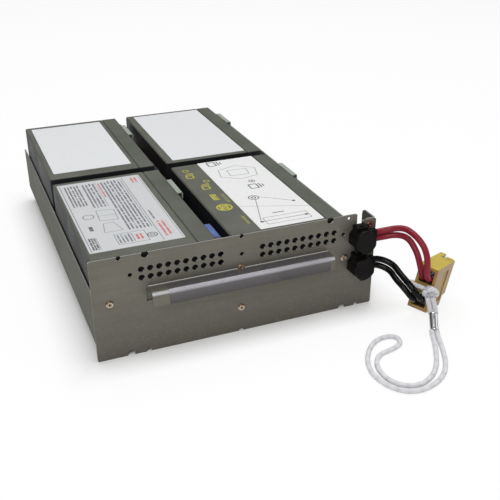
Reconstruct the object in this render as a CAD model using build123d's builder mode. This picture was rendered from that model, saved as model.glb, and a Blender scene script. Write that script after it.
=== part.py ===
"""Battery cartridge for a rack uninterruptible power supply.

Four sealed lead-acid blocks lie on their sides in an open sheet-steel tray behind a front plate.
Their leads run down a channel at the right, turn out through two strain relief bushings and end
in a two-pole connector with a pull lanyard. Millimetres, +Z up, +X to the right along the front
plate, +Y towards the back of the tray. The origin is on the surface, under the middle of the body.
"""

import os
from math import cos, pi, radians, sin, tan

from build123d import *

os.makedirs("parts", exist_ok=True)

# ---- driving dimensions ---------------------------------------------------------------------
# sheet metal
sheet = 1.2                 # thickness of every steel sheet
inner_bend = 0.9            # inside radius of the folds
tray_drop = 13.2            # the front plate hangs this far below the tray's floor
side_wall_drop = 27.0       # side walls' upper edge below the front plate's upper edge
front_wall_drop = 24.0      # upper edge of the wall that carries the front plate
rear_lip_height = 30.0      # wall at the back of the tray
relief = 3.0                # gap where two folds meet at a corner
tab_depth = 20.0            # raised end of the right wall, front to back
ear_drop = 6.4              # that raised end, and the ear in front of it, below the plate's edge
tab_width = 8.5             # its fold behind the ear
tab_bottom_drop = 15.5      # lower edge of that fold, above the bushing's neck

# sealed battery blocks, lying on their sides with the lid to the right
block_length = 151.0        # front to back
block_height = 65.0         # upright
case_depth = 79.7           # case, left to right
lid_depth = 14.3            # lid, left to right
block_round = 1.2           # rounded long corners
seam_bevel = 0.7            # bevel on each side of the line between case and lid
foot_bevel = 1.0            # bevel round the case's far end
wall_gap = 0.9              # left wall to the left blocks
front_gap = 0.8             # front wall to the front blocks
column_gap = 11.7           # left blocks to right blocks
row_gap = 11.4              # front blocks to rear blocks
rear_gap = 12.2             # rear blocks to the wall at the back
channel_width = 28.0        # right blocks to the right wall, where the leads run
panel_over_blocks = 0.6     # the front plate stands this far above the blocks
pad_thickness = 4.0         # foam under the blocks
pad_margin = 4.0            # foam's edge inside the case's edge
pad_clearance = 0.2         # foam to whatever it is wedged against

# terminals
tab_offset = 15.0           # terminal to the block's end
tab_from_top = 12.0         # terminal to the block's upper side
tab_blade = 6.3             # blade width
tab_thickness = 0.8
tab_reach = 5.0             # blade beyond the lid's face
pocket_length = 22.0        # hollow in the lid round a terminal
pocket_height = 16.0
pocket_depth = 4.0
foot_size = 8.0             # terminal's foot in the pocket
foot_thickness = 1.5
sleeve_length = 28.0        # insulating sleeve over a terminal
sleeve_height = 11.0
front_sleeve_rise = 5.6     # the first sleeve is this much taller, above its terminal
sleeve_reach = 6.1          # its outer face beyond the lid's face
sleeve_gap = 0.3            # its inner face to the lid's face
blade_clearance = 0.2
cover_length = 31.0         # pale cover hooked over the lid's edge
cover_offset = 29.5         # its near end to the block's rear end, clear of the sleeve
cover_reach = 3.0           # beyond the lid's face
cover_lap = 1.0             # leaf that lies on the lid
cover_drop = 4.6            # leaf that hangs outside
cover_sheet = 0.9
sleeve_round = 2.0
sleeve_bevel = 1.6
valve_margin = 27.5         # block's end to the strip over the valves
valve_strip = 26.0          # height of that strip
valve_rise = 10.4           # block's lower side to the strip
valve_groove = 0.8
valve_round = 3.0
label_round = 1.0
label_margins = {           # bare case round the label: left, front, right, back
    "front_left": (2.4, 10.0, 5.8, 6.0),
    "front_right": (24.9, 0.8, 1.2, 0.8),
    "rear_left": (5.2, 12.0, 4.3, 7.0),
    "rear_right": (7.2, 4.6, 1.3, 5.4),
}

# black sheet on the front ends of the front blocks, behind the vents
screen_sheet = 0.5
screen_margin = 2.0         # its edge inside the case's edge
screen_height = 21.0

# dividers on the tray's floor
divider_height = 22.0
divider_gap = 0.3           # divider to the blocks it locates
divider_foot_width = 9.0    # foot of the single angle

# leads
lead_diameter = 5.0
lead_pitch = 5.6            # two leads side by side in a bushing or in the connector
lead_clearance = 1.3        # leads to the right wall
lead_start = 14.0           # straight run that leaves a sleeve
lead_slope = 42.0           # run that climbs or drops from the terminals to the crossing
lead_turn = 10.0            # room for a turn in the channel
channel_end = 36.0          # the channel's straight run ends this far behind the bushings
bushing_straight = 16.0     # straight run that enters a bushing
crossing_drop = 7.0         # black lead at the crossing, below the side walls' edge
crossing_rise = 0.5         # red lead at the crossing, above that edge
channel_lead_drop = 7.5     # right-hand red lead in the channel, below the terminals

# strain relief bushings
bushing_margin = 14.8       # axis to the plate's right edge
bushing_drops = (44.6, 20.5)    # lower and upper axis below the plate's upper edge
bushing_reach = 13.0        # head, out of the plate
bushing_head = 20.0         # head diameter
bushing_flat = 18.6         # across the flats at its sides
bushing_slant = 8.8         # slanted flat at the head's lower left, from the axis
bushing_hole = 15.9
bushing_clearance = 0.2
bushing_lug = 3.6           # lugs behind the plate
bushing_grip = 0.9          # lugs beyond the hole's edge
lug_clearance = 0.4         # lugs to the front wall's end
lug_height = 8.0
bushing_dome = 1.5          # rounding of the head's front
bushing_exit = 10.2         # axis to the face where the leads leave
exit_reach = 7.0            # leads leave this far out of the plate
collar_wall = 1.0           # round the leads where they leave
exit_rise = 2.5             # leads leave this far above the axis
catch_width = 10.0          # catch on top of the head
catch_height = 3.6
catch_depth = 8.0
catch_shift = 1.5           # catch to the left of the axis
catch_window = 2.0          # small window in the catch
slot_width = 5.2            # slot that lets the leads in from above

# front plate
plate_round = 1.5           # rounded corners of the plate and of its lip
handle_width = 147.5        # lip that serves as a handle
handle_gap = 1.5            # plate beside the lip, each side
handle_drop = 28.0          # upper face of the lip below the plate's upper edge
slot_height = 10.8          # the slot the lip was folded out of
handle_reach = 11.8         # outer face of the lip, out of the plate
handle_height = 11.4        # lower edge of the lip to its upper face
handle_bend = 3.4           # outer radius of its rounded fold
vent_diameter = 4.75
vent_pitch = 6.78
vent_columns = 10
vent_drops = (19.8, 13.0)   # rows of vents below the plate's upper edge
vent_middle = 17.0          # nearest column of each group to the plate's middle
screw_hole = 3.4
screw_drop = 16.0
screw_spacing = 86.4
pin_hole = 2.6              # small hole beside the upper bushing
pin_hole_margin = 24.7      # from the plate's right edge
pin_hole_drop = 2.8
rivet_margins = (12.7, 27.3)         # from the plate's left edge and from its right edge
rivet_drop = 36.8                    # both, below the plate's upper edge
ear_rivet_angle = 46.2               # one more, on the ear, up and to the right of the upper bushing
ear_rivet_gap = 0.06                 # its head to the bushing's head
middle_rivet_shift = 0.7             # two more, this far left of the middle
middle_rivet_drop = 27.0             # the upper one below the plate's upper edge
middle_rivet_rise = 8.2              # the lower one above the underside of the tray
rivet_head = 5.9
rivet_shank = 3.2
rivet_tail = 5.0
rivet_dome = 1.2            # head, out of the plate
rivet_hollow = 2.6          # hollow left by the stem, across the head
rivet_crown = 4.2           # flat ring round that hollow
rivet_rim = 0.4             # straight edge of the head
rivet_set = 0.5             # tail, set flat behind the sheets
rivet_clearance = 0.05
rivet_relief = 0.2          # hollow in the lip's fold round the head of the rivet above it
label_film = 0.25
handle_film_margins = (12.75, 3.75)  # bare lip at the film's left and right ends

# connector, measured along its own edges
connector_place = (15.7, 31.6, 9.8)   # lower left corner of the face the leads enter
connector_yaw = 33.8
connector_pitch = 13.0      # nose down
connector_roll = 6.0        # leaning
connector_length = 48.2     # at the hood
hood_thickness = 5.0        # the hood is the longer wall at the mating end
connector_body = 41.5       # the rest, up to where the mating connector's hood passes it
body_bevel = 3.5
connector_foot = 31.0       # shorter at its lower side
foot_rise = 10.0
connector_height = 38.3
connector_thickness = 16.3
chamber_width = 11.6        # across the thickness
chambers = ((3.3, 14.8), (23.6, 35.1))   # lower and upper chamber, bottom and top
contact_start = 8.0         # depth at which the contacts begin
contact_barrel = 10.0       # length that grips the leads
contact_clearance = 0.25
lanyard_hole = (6.0, 19.2)  # along the connector, up the connector
housing_round = 1.6
chamber_round = 0.8         # small enough for the contacts' square corners
keyway_length = 13.7
keyway_width = 3.0
keyway_depth = 4.5
recess_depth = 0.7
recess_size = (16.0, 27.0)  # shallow panel in each broad side, along and up the connector
recess_middle = 20.0        # entry face to its middle
contact_end = (1.0, 4.0)    # lower and upper contact's tip to the end of the housing round it
contact_tongue = 5.5
spring_sheet = 0.6
spring_width = 8.0

# lanyard
lanyard_diameter = 3.9
lanyard_clearance = 0.4
strand_gap = 0.12           # half of the gap between the strands in the ferrule
ferrule_diameter = 7.0
ferrule_top_place = (26.2, 52.7, 12.0)
ferrule_bottom_place = (20.7, 63.9, 4.0)
knot_size = (8.0, 11.6, 8.8)      # along, across and up the connector
knot_place = (-4.5, 16.0, 20.0)   # its middle, just clear of the housing

# ---- places worked out from the sizes -------------------------------------------------------
block_depth = case_depth + lid_depth
panel_width = 2 * (block_depth + sheet) + column_gap + wall_gap + channel_width
panel_height = tray_drop + sheet + pad_thickness + block_height + panel_over_blocks
body_length = 2 * block_length + row_gap + front_gap + rear_gap + 3 * sheet
left_x = -panel_width / 2
right_x = panel_width / 2
panel_y = (bushing_reach - body_length) / 2   # outer face of the front plate
rear_y = panel_y + body_length
front_wall_y = panel_y + sheet                # outer face of the tray's front wall
floor_z = tray_drop + sheet
block_z = floor_z + pad_thickness
block_top = block_z + block_height
front_block_y = front_wall_y + sheet + front_gap
rear_block_y = front_block_y + block_length + row_gap
left_block_x = left_x + sheet + wall_gap
right_block_x = left_block_x + block_depth + column_gap
block_places = {
    "front_left": (left_block_x, front_block_y),
    "front_right": (right_block_x, front_block_y),
    "rear_left": (left_block_x, rear_block_y),
    "rear_right": (right_block_x, rear_block_y),
}
terminal_z = block_top - tab_from_top
channel_left = right_block_x + block_depth + divider_gap + sheet
bushing_x = right_x - bushing_margin
bushing_heights = [panel_height - drop for drop in bushing_drops]
ear_top = panel_height - ear_drop
handle_top = panel_height - handle_drop       # upper face of the lip
handle_bottom = handle_top - handle_height


def outside(place):
    """Point given as distances right of the plate's right edge, out of its face and above the surface."""
    return Vector(right_x + place[0], panel_y - place[1], place[2])


def turn_of(before, corner, after):
    """Angle in degrees by which a route turns at a corner."""
    return (corner - before).get_angle(after - corner)


def corner_radii(route):
    """Largest comfortable arc at each corner of a route: 0.45 of the shorter run over tan(turn / 2)."""
    radii = []
    for before, corner, after in zip(route, route[1:], route[2:]):
        shorter = min((corner - before).length, (after - corner).length)
        radii.append(0.45 * shorter / tan(radians(turn_of(before, corner, after)) / 2))
    return radii


def make_cord(label, points, diameter, corner_room=None):
    """Plain tube of straight runs joined by tangent arcs.

    corner_room caps how far from a corner its arc may begin, where the lead is held in a channel.
    """
    route = [Vector(*point) for point in points]
    radii = corner_radii(route)
    if corner_room:
        turns = [turn_of(*corner) for corner in zip(route, route[1:], route[2:])]
        radii = [min(r, corner_room / tan(radians(turn) / 2)) for r, turn in zip(radii, turns)]
    with BuildPart() as cord:
        with BuildLine() as path:
            if radii:
                FilletPolyline(*route, radius=radii)
            else:
                Line(*route)
        wire = path.wires()[0]
        with BuildSketch(Plane(origin=wire @ 0, z_dir=wire % 0)):
            Circle(diameter / 2)
        sweep(path=wire)
    cord.part.label = label
    export_step(cord.part, f"parts/{label}.step")
    tube = pi * diameter**2 / 4 * wire.length
    listed = " ".join(f"{radius:.1f}" for radius in radii)
    print(f"{label}: length {wire.length:.1f}, volume / tube {cord.part.volume / tube:.4f}, radii {listed}")
    return cord.part


# ---- tray -----------------------------------------------------------------------------------
outer_bend = inner_bend + sheet
fold = inner_bend + sheet / 2                # radius of the middle of the sheet in a fold
wall_top = panel_height - side_wall_drop
middle_z = tray_drop + sheet / 2             # middle of the floor's sheet
end_wall_left = left_x + outer_bend + relief
front_wall_end = bushing_x - bushing_hole / 2 - bushing_grip - lug_clearance
ear_rivet_reach = (bushing_head + rivet_head) / 2 + ear_rivet_gap
ear_rivet_x = bushing_x + ear_rivet_reach * cos(radians(ear_rivet_angle))
ear_rivet_z = bushing_heights[1] + ear_rivet_reach * sin(radians(ear_rivet_angle))
side_rivets = (left_x + rivet_margins[0], right_x - rivet_margins[1])
rivet_points = [(x, panel_height - rivet_drop) for x in side_rivets]
rivet_points.append((ear_rivet_x, ear_rivet_z))
rivet_points.append((-middle_rivet_shift, panel_height - middle_rivet_drop))
rivet_points.append((-middle_rivet_shift, tray_drop + middle_rivet_rise))
rivet_hole = rivet_shank / 2 + rivet_clearance

with BuildPart() as tray:
    # floor and side walls: one folded section, drawn across the tray
    with BuildSketch(Plane.XZ.offset(-front_wall_y)):
        with BuildLine():
            FilletPolyline(
                (left_x + sheet / 2, wall_top),
                (left_x + sheet / 2, middle_z),
                (right_x - sheet / 2, middle_z),
                (right_x - sheet / 2, wall_top),
                radius=fold,
            )
        trace(line_width=sheet)
    extrude(amount=-(rear_y - front_wall_y))
    # the floor stops short of the end walls, which leaves a relief at each corner
    for corner_y, corner_end in ((front_wall_y, front_wall_end + relief), (rear_y, right_x - outer_bend)):
        with BuildSketch(Plane.XY.offset(tray_drop)):
            with Locations(((left_x + outer_bend + corner_end) / 2, corner_y)):
                Rectangle(corner_end - left_x - outer_bend, 2 * outer_bend)
        extrude(amount=sheet, mode=Mode.SUBTRACT)
    # front wall, folded up from the floor as far as the lead channel
    with BuildSketch(Plane.YZ.offset(end_wall_left)):
        with BuildLine():
            FilletPolyline(
                (front_wall_y + sheet / 2, panel_height - front_wall_drop),
                (front_wall_y + sheet / 2, middle_z),
                (front_wall_y + 3 * outer_bend, middle_z),
                radius=fold,
            )
        trace(line_width=sheet)
    extrude(amount=front_wall_end - end_wall_left)
    # lip at the back
    with BuildSketch(Plane.YZ.offset(end_wall_left)):
        with BuildLine():
            FilletPolyline(
                (rear_y - sheet / 2, tray_drop + rear_lip_height),
                (rear_y - sheet / 2, middle_z),
                (rear_y - 3 * outer_bend, middle_z),
                radius=fold,
            )
        trace(line_width=sheet)
    extrude(amount=right_x - outer_bend - relief - end_wall_left)
    # raised end of the right wall
    with BuildSketch(Plane.YZ.offset(right_x - sheet)) as raised_end:
        with BuildLine():
            Polyline(
                (front_wall_y + outer_bend, wall_top - relief),
                (panel_y + tab_depth, wall_top - relief),
                (panel_y + tab_depth, ear_top),
                (front_wall_y + outer_bend, ear_top),
                close=True,
            )
        make_face()
        fillet(raised_end.vertices().group_by(Axis.Y)[-1].sort_by(Axis.X)[-1], radius=2 * outer_bend)
    extrude(amount=sheet)
    # and its fold behind the plate's ear
    tab_bottom = panel_height - tab_bottom_drop
    with BuildSketch(Plane.XY.offset(tab_bottom)):
        with BuildLine():
            FilletPolyline(
                (right_x - tab_width, front_wall_y + sheet / 2),
                (right_x - sheet / 2, front_wall_y + sheet / 2),
                (right_x - sheet / 2, front_wall_y + 3 * outer_bend),
                radius=fold,
            )
        trace(line_width=sheet)
    extrude(amount=ear_top - tab_bottom)
    # rivet holes
    with BuildSketch(Plane.XZ.offset(-front_wall_y)):
        with Locations(*rivet_points):
            Circle(rivet_hole)
    extrude(amount=-sheet, mode=Mode.SUBTRACT)
tray.part.label = "tray"
export_step(tray.part, "parts/tray.step")

# ---- front plate ----------------------------------------------------------------------------
slot_left = bushing_x - slot_width / 2
slot_right = bushing_x + slot_width / 2
edge_notches = (     # place along the plate, height of the centre, radius
    (left_x + 21.7, panel_height - 1.2, 1.8),
    (left_x + 40.9, panel_height - 1.6, 2.8),
    (0.0, panel_height - 1.4, 1.7),
    (right_x - 41.3, panel_height - 1.6, 2.8),
    (left_x + 25.7, 1.2, 3.0),
    (left_x + 39.5, 0.9, 1.9),
    (-0.9, 0.9, 1.9),
    (right_x - 27.0, 1.2, 3.0),
    (right_x - 13.8, 0.9, 1.9),
)
vent_span = vent_pitch * (vent_columns - 1)
vent_row_pitch = vent_drops[0] - vent_drops[1]
vent_height = panel_height - sum(vent_drops) / 2
slot_top = handle_top - sheet

with BuildPart() as front_panel:
    with BuildSketch(Plane.XZ.offset(-front_wall_y)) as plate:
        with BuildLine():
            Polyline(
                (left_x, 0),
                (right_x, 0),
                (right_x, ear_top),
                (slot_right, ear_top),
                (slot_right, bushing_heights[0]),
                (slot_left, bushing_heights[0]),
                (slot_left, panel_height),
                (left_x, panel_height),
                close=True,
            )
        make_face()
        outer_corners = [v for v in plate.vertices() if v.Y < sheet or v.Y > ear_top - sheet]
        fillet(outer_corners, radius=plate_round)
        with Locations(*[(bushing_x, height) for height in bushing_heights]):
            Circle(bushing_hole / 2, mode=Mode.SUBTRACT)
        for side in (-1, 1):
            with Locations((side * (vent_middle + vent_span / 2), vent_height)):
                with GridLocations(vent_pitch, vent_row_pitch, vent_columns, 2):
                    Circle(vent_diameter / 2, mode=Mode.SUBTRACT)
        with Locations((0, panel_height - screw_drop)):
            with GridLocations(screw_spacing, 0, 3, 1):
                Circle(screw_hole / 2, mode=Mode.SUBTRACT)
        with Locations((right_x - pin_hole_margin, panel_height - pin_hole_drop)):
            Circle(pin_hole / 2, mode=Mode.SUBTRACT)
        for x, height, radius in edge_notches:
            with Locations((x, height)):
                Circle(radius, mode=Mode.SUBTRACT)
        with Locations((0, slot_top - slot_height / 2)):
            Rectangle(handle_width + 2 * handle_gap, slot_height, mode=Mode.SUBTRACT)
    extrude(amount=sheet)
    # the lip folded out of the slot, with a rounded fold where fingers hook over it
    with BuildSketch(Plane.YZ.offset(-handle_width / 2)):
        with BuildLine():
            FilletPolyline(
                (panel_y + sheet / 2, handle_top + sheet),
                (panel_y + sheet / 2, handle_top - sheet / 2),
                (panel_y - handle_reach + sheet / 2, handle_top - sheet / 2),
                (panel_y - handle_reach + sheet / 2, handle_bottom),
                radius=(fold, handle_bend - sheet / 2),
            )
        trace(line_width=sheet)
    extrude(amount=handle_width)
    lip_corners = front_panel.edges().filter_by(Axis.Y).filter_by_position(
        Axis.Y, panel_y - handle_reach - 1, panel_y - handle_reach + sheet + 1
    )
    fillet(lip_corners.group_by(Axis.Z)[0], radius=plate_round)
    # rivet holes, and room for the heads where one sits over the lip's fold
    with BuildSketch(Plane.XZ.offset(-front_wall_y)):
        with Locations(*rivet_points):
            Circle(rivet_hole)
    extrude(amount=sheet, mode=Mode.SUBTRACT)
    with BuildSketch(Plane.XZ.offset(-panel_y)):
        with Locations(*rivet_points):
            Circle(rivet_head / 2 + rivet_relief)
    extrude(amount=rivet_dome + rivet_relief, mode=Mode.SUBTRACT)
front_panel.part.label = "front_panel"
export_step(front_panel.part, "parts/front_panel.step")

# ---- film wrapped over the handle -----------------------------------------------------------
film_y = panel_y - handle_reach - label_film / 2
film_left, film_right = handle_film_margins
with BuildPart() as handle_label:
    with BuildSketch(Plane.YZ.offset(film_left - handle_width / 2)):
        with BuildLine():
            FilletPolyline(
                (panel_y - 2 * sheet, handle_top + label_film / 2),
                (film_y, handle_top + label_film / 2),
                (film_y, handle_bottom + label_film),
                radius=handle_bend + label_film / 2,
            )
        trace(line_width=label_film)
    extrude(amount=handle_width - film_left - film_right)
handle_label.part.label = "handle_label"
export_step(handle_label.part, "parts/handle_label.step")

# ---- rivets: domed heads with the hollow that the pulled stem leaves -------------------------
with BuildPart() as rivet:
    with BuildSketch(Plane.XY):
        with BuildLine():
            Polyline(
                (0, -rivet_dome + rivet_hollow / 2),
                (rivet_hollow / 2, -rivet_dome),
                (rivet_crown / 2, -rivet_dome),
                (rivet_head / 2, -rivet_rim),
                (rivet_head / 2, 0),
                (rivet_shank / 2, 0),
                (rivet_shank / 2, 2 * sheet),
                (rivet_tail / 2, 2 * sheet),
                (rivet_tail / 2, 2 * sheet + rivet_set),
                (0, 2 * sheet + rivet_set),
                close=True,
            )
        make_face()
    revolve(axis=Axis.Y)
with BuildPart() as panel_rivets:
    with Locations(*[(x, panel_y, z) for x, z in rivet_points]):
        add(rivet.part)
panel_rivets.part.label = "panel_rivets"
export_step(panel_rivets.part, "parts/panel_rivets.step")

# ---- dividers on the floor ------------------------------------------------------------------
divider_length = rear_block_y + block_length - front_block_y
left_lid_face = left_block_x + block_depth
divider_top = floor_z + divider_height

with BuildPart() as centre_channel:
    with BuildSketch(Plane.XZ.offset(-front_block_y)):
        with BuildLine():
            FilletPolyline(
                (left_lid_face + divider_gap + sheet / 2, divider_top),
                (left_lid_face + divider_gap + sheet / 2, floor_z + sheet / 2),
                (right_block_x - divider_gap - sheet / 2, floor_z + sheet / 2),
                (right_block_x - divider_gap - sheet / 2, divider_top),
                radius=fold,
            )
        trace(line_width=sheet)
    extrude(amount=-divider_length)
centre_channel.part.label = "centre_channel"
export_step(centre_channel.part, "parts/centre_channel.step")

with BuildPart() as side_angle:
    with BuildSketch(Plane.XZ.offset(-front_block_y)):
        with BuildLine():
            FilletPolyline(
                (channel_left - sheet / 2, divider_top),
                (channel_left - sheet / 2, floor_z + sheet / 2),
                (channel_left - sheet + divider_foot_width, floor_z + sheet / 2),
                radius=fold,
            )
        trace(line_width=sheet)
    extrude(amount=-divider_length)
side_angle.part.label = "side_angle"
export_step(side_angle.part, "parts/side_angle.step")

# ---- foam -----------------------------------------------------------------------------------
for side, block_x in (("left", left_block_x), ("right", right_block_x)):
    with BuildPart() as base_pad:
        with BuildSketch(Plane.XY.offset(floor_z)):
            with Locations((block_x + case_depth / 2, front_block_y + divider_length / 2)):
                RectangleRounded(case_depth - 2 * pad_margin, divider_length - 2 * pad_margin, pad_margin)
        extrude(amount=pad_thickness)
    base_pad.part.label = f"base_pad_{side}"
    export_step(base_pad.part, f"parts/base_pad_{side}.step")

    pad_front = rear_block_y + block_length + pad_clearance
    pad_back = rear_y - sheet - pad_clearance
    with BuildPart() as rear_pad:
        with BuildSketch(Plane.XY.offset(floor_z + inner_bend)):
            with Locations((block_x + case_depth / 2, (pad_front + pad_back) / 2)):
                Rectangle(case_depth - 2 * pad_margin, pad_back - pad_front)
        extrude(amount=rear_lip_height - sheet - 2 * inner_bend)
    rear_pad.part.label = f"rear_pad_{side}"
    export_step(rear_pad.part, f"parts/rear_pad_{side}.step")


# ---- sealed blocks --------------------------------------------------------------------------
def tab_places(block_y):
    """Where along Y a block's two terminals stand."""
    return (block_y + tab_offset, block_y + block_length - tab_offset)


for place, (block_x, block_y) in block_places.items():
    middle = (block_y + block_length / 2, block_z + block_height / 2)
    seam_x = block_x + case_depth
    lid_face = seam_x + lid_depth

    with BuildPart() as case:
        with BuildSketch(Plane.YZ.offset(block_x)):
            with Locations(middle):
                RectangleRounded(block_length, block_height, block_round)
        extrude(amount=case_depth)
        chamfer(case.faces().sort_by(Axis.X)[0].edges(), length=foot_bevel)
        chamfer(case.faces().sort_by(Axis.X)[-1].edges(), length=seam_bevel)
    case.part.label = f"battery_case_{place}"
    export_step(case.part, f"parts/battery_case_{place}.step")

    with BuildPart() as lid:
        with BuildSketch(Plane.YZ.offset(seam_x)):
            with Locations(middle):
                RectangleRounded(block_length, block_height, block_round)
        extrude(amount=lid_depth)
        chamfer(lid.faces().sort_by(Axis.X)[0].edges(), length=seam_bevel)
        chamfer(lid.faces().sort_by(Axis.X)[-1].edges(), length=seam_bevel)
        # hollow round each terminal
        with BuildSketch(Plane.YZ.offset(lid_face)):
            with Locations(*[(tab_y, terminal_z) for tab_y in tab_places(block_y)]):
                RectangleRounded(pocket_length, pocket_height, block_round)
        extrude(amount=-pocket_depth, mode=Mode.SUBTRACT)
        # groove round the strip that covers the valves
        with BuildSketch(Plane.YZ.offset(lid_face)):
            with Locations((middle[0], block_z + valve_rise + valve_strip / 2)):
                valve_length = block_length - 2 * valve_margin
                RectangleRounded(valve_length, valve_strip, valve_round)
                RectangleRounded(
                    valve_length - 2 * valve_groove,
                    valve_strip - 2 * valve_groove,
                    valve_round - valve_groove,
                    mode=Mode.SUBTRACT,
                )
        extrude(amount=-valve_groove, mode=Mode.SUBTRACT)
    lid.part.label = f"battery_lid_{place}"
    export_step(lid.part, f"parts/battery_lid_{place}.step")

    pocket_floor = lid_face - pocket_depth
    with BuildPart() as terminals:
        with BuildSketch(Plane.YZ.offset(pocket_floor)):
            with Locations(*[(tab_y, terminal_z) for tab_y in tab_places(block_y)]):
                Rectangle(foot_size, foot_size)
        extrude(amount=foot_thickness)
        with BuildSketch(Plane.YZ.offset(pocket_floor + foot_thickness)):
            with Locations(*[(tab_y, terminal_z) for tab_y in tab_places(block_y)]):
                Rectangle(tab_thickness, tab_blade)
        extrude(amount=pocket_depth - foot_thickness + tab_reach)
    terminals.part.label = f"battery_terminals_{place}"
    export_step(terminals.part, f"parts/battery_terminals_{place}.step")

    # insulating sleeves pushed over the terminals; the first one of the front left block stands alone
    sleeves = {"terminal_sleeves_" + place: tab_places(block_y)}
    if place == "front_left":
        sleeves = {
            "terminal_sleeve_front": tab_places(block_y)[:1],
            "terminal_sleeves_" + place: tab_places(block_y)[1:],
        }
    for sleeve_name, sleeve_places in sleeves.items():
        rise = front_sleeve_rise if sleeve_name == "terminal_sleeve_front" else 0
        with BuildPart() as sleeve:
            with BuildSketch(Plane.YZ.offset(lid_face + sleeve_gap)):
                with Locations(*[(tab_y, terminal_z + rise / 2) for tab_y in sleeve_places]):
                    RectangleRounded(sleeve_length, sleeve_height + rise, sleeve_round)
            extrude(amount=sleeve_reach - sleeve_gap)
            chamfer(sleeve.faces().group_by(Axis.X)[-1].edges(), length=sleeve_bevel)
            with BuildSketch(Plane.YZ.offset(lid_face + sleeve_gap)):
                with Locations(*[(tab_y, terminal_z) for tab_y in sleeve_places]):
                    Rectangle(tab_thickness + 2 * blade_clearance, tab_blade + 2 * blade_clearance)
            extrude(amount=tab_reach + blade_clearance - sleeve_gap, mode=Mode.SUBTRACT)
        sleeve.part.label = sleeve_name
        export_step(sleeve.part, f"parts/{sleeve_name}.step")

    # pale cover hooked over the lid's upper edge
    cover_end = block_y + block_length - cover_offset
    with BuildPart() as cover:
        with BuildSketch(Plane.XZ.offset(-cover_end)):
            with BuildLine():
                FilletPolyline(
                    (lid_face - cover_lap, block_top + cover_sheet / 2),
                    (lid_face + cover_reach + cover_sheet / 2, block_top + cover_sheet / 2),
                    (lid_face + cover_reach + cover_sheet / 2, block_top - cover_drop),
                    radius=cover_sheet,
                )
            trace(line_width=cover_sheet)
        extrude(amount=cover_length)
    cover.part.label = f"terminal_cover_{place}"
    export_step(cover.part, f"parts/terminal_cover_{place}.step")

    # paper label on the case's upper side
    left, front, right, back = label_margins[place]
    label_middle = ((left - right + case_depth) / 2, (front - back + block_length) / 2)
    with BuildPart() as label:
        with BuildSketch(Plane.XY.offset(block_top)):
            with Locations((block_x + label_middle[0], block_y + label_middle[1])):
                RectangleRounded(case_depth - left - right, block_length - front - back, label_round)
        extrude(amount=label_film)
    label.part.label = f"block_label_{place}"
    export_step(label.part, f"parts/block_label_{place}.step")

# ---- black sheet behind the vents -----------------------------------------------------------
with BuildPart() as vent_screen:
    for block_x in (left_block_x, right_block_x):
        with BuildSketch(Plane.XZ.offset(-front_block_y)):
            with Locations((block_x + block_depth / 2, block_top - screen_margin - screen_height / 2)):
                Rectangle(block_depth - 2 * screen_margin, screen_height)
        extrude(amount=screen_sheet)
vent_screen.part.label = "vent_screen"
export_step(vent_screen.part, "parts/vent_screen.step")

# ---- strain relief bushings -----------------------------------------------------------------
lug_radius = bushing_hole / 2 + bushing_grip
exit_middle = panel_y - exit_reach              # where the leads leave the head, front to back
for name, height in zip(("lower", "upper"), bushing_heights):
    with BuildPart() as bushing:
        # head: round, with a flat at both sides and a slanted one at the lower left
        with BuildSketch(Plane.XZ.offset(-panel_y)):
            with Locations((bushing_x, height)):
                Circle(bushing_head / 2)
                Rectangle(bushing_flat, bushing_head, mode=Mode.INTERSECT)
            slant_reach = (bushing_head - bushing_slant) * cos(pi / 4)
            with Locations((bushing_x + slant_reach, height + slant_reach)):
                Rectangle(2 * bushing_head, 2 * bushing_head, rotation=45, mode=Mode.INTERSECT)
        extrude(amount=bushing_reach)
        fillet(bushing.faces().sort_by(Axis.Y)[0].edges(), radius=bushing_dome)
        # catch on top of the head, with a small window
        with BuildSketch(Plane.XZ.offset(-panel_y)):
            with Locations((bushing_x - catch_shift, height + bushing_head / 2)):
                Rectangle(catch_width, catch_height)
        extrude(amount=catch_depth)
        with BuildSketch(Plane.XY.offset(height + (bushing_head + catch_height) / 2)):
            with Locations((bushing_x - catch_shift, panel_y - catch_depth + 1.2 * catch_window)):
                Rectangle(2 * catch_window, catch_window)
        extrude(amount=-catch_window, mode=Mode.SUBTRACT)
        # collar round the leads
        with BuildSketch(Plane.YZ.offset(bushing_x)):
            with Locations((exit_middle, height + exit_rise)):
                collar_width = lead_diameter + 2 * collar_wall
                RectangleRounded(collar_width, collar_width + lead_pitch, lead_diameter / 2)
        extrude(amount=bushing_exit)
        # neck through the plate, and two lugs that snap in behind it
        with BuildSketch(Plane.XZ.offset(-panel_y)):
            with Locations((bushing_x, height)):
                Circle(bushing_hole / 2 - bushing_clearance)
        extrude(amount=-(sheet + bushing_lug))
        with BuildSketch(Plane.XZ.offset(-(front_wall_y + bushing_clearance))):
            with Locations((bushing_x, height)):
                Circle(lug_radius)
                Rectangle(2 * lug_radius, lug_height, mode=Mode.INTERSECT)
        extrude(amount=-(bushing_lug - bushing_clearance))
    bushing.part.label = f"bushing_{name}"
    export_step(bushing.part, f"parts/bushing_{name}.step")

# ---- leads inside the tray ------------------------------------------------------------------
lead_left_x = left_lid_face + (sleeve_gap + sleeve_reach) / 2
lead_right_x = right_block_x + block_depth + (sleeve_gap + sleeve_reach) / 2
half_sleeve = sleeve_length / 2
front_tab, front_far_tab = tab_places(front_block_y)
rear_near_tab, rear_tab = tab_places(rear_block_y)
row_middle = rear_block_y - row_gap / 2
bushing_back = front_wall_y + bushing_lug
channel_x = right_x - sheet - lead_diameter / 2 - lead_clearance
low_z, high_z = bushing_heights
crossing_low = wall_top - crossing_drop
crossing_high = wall_top + crossing_rise
front_lead_y = front_tab + half_sleeve
rear_lead_y = rear_tab - half_sleeve

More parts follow.
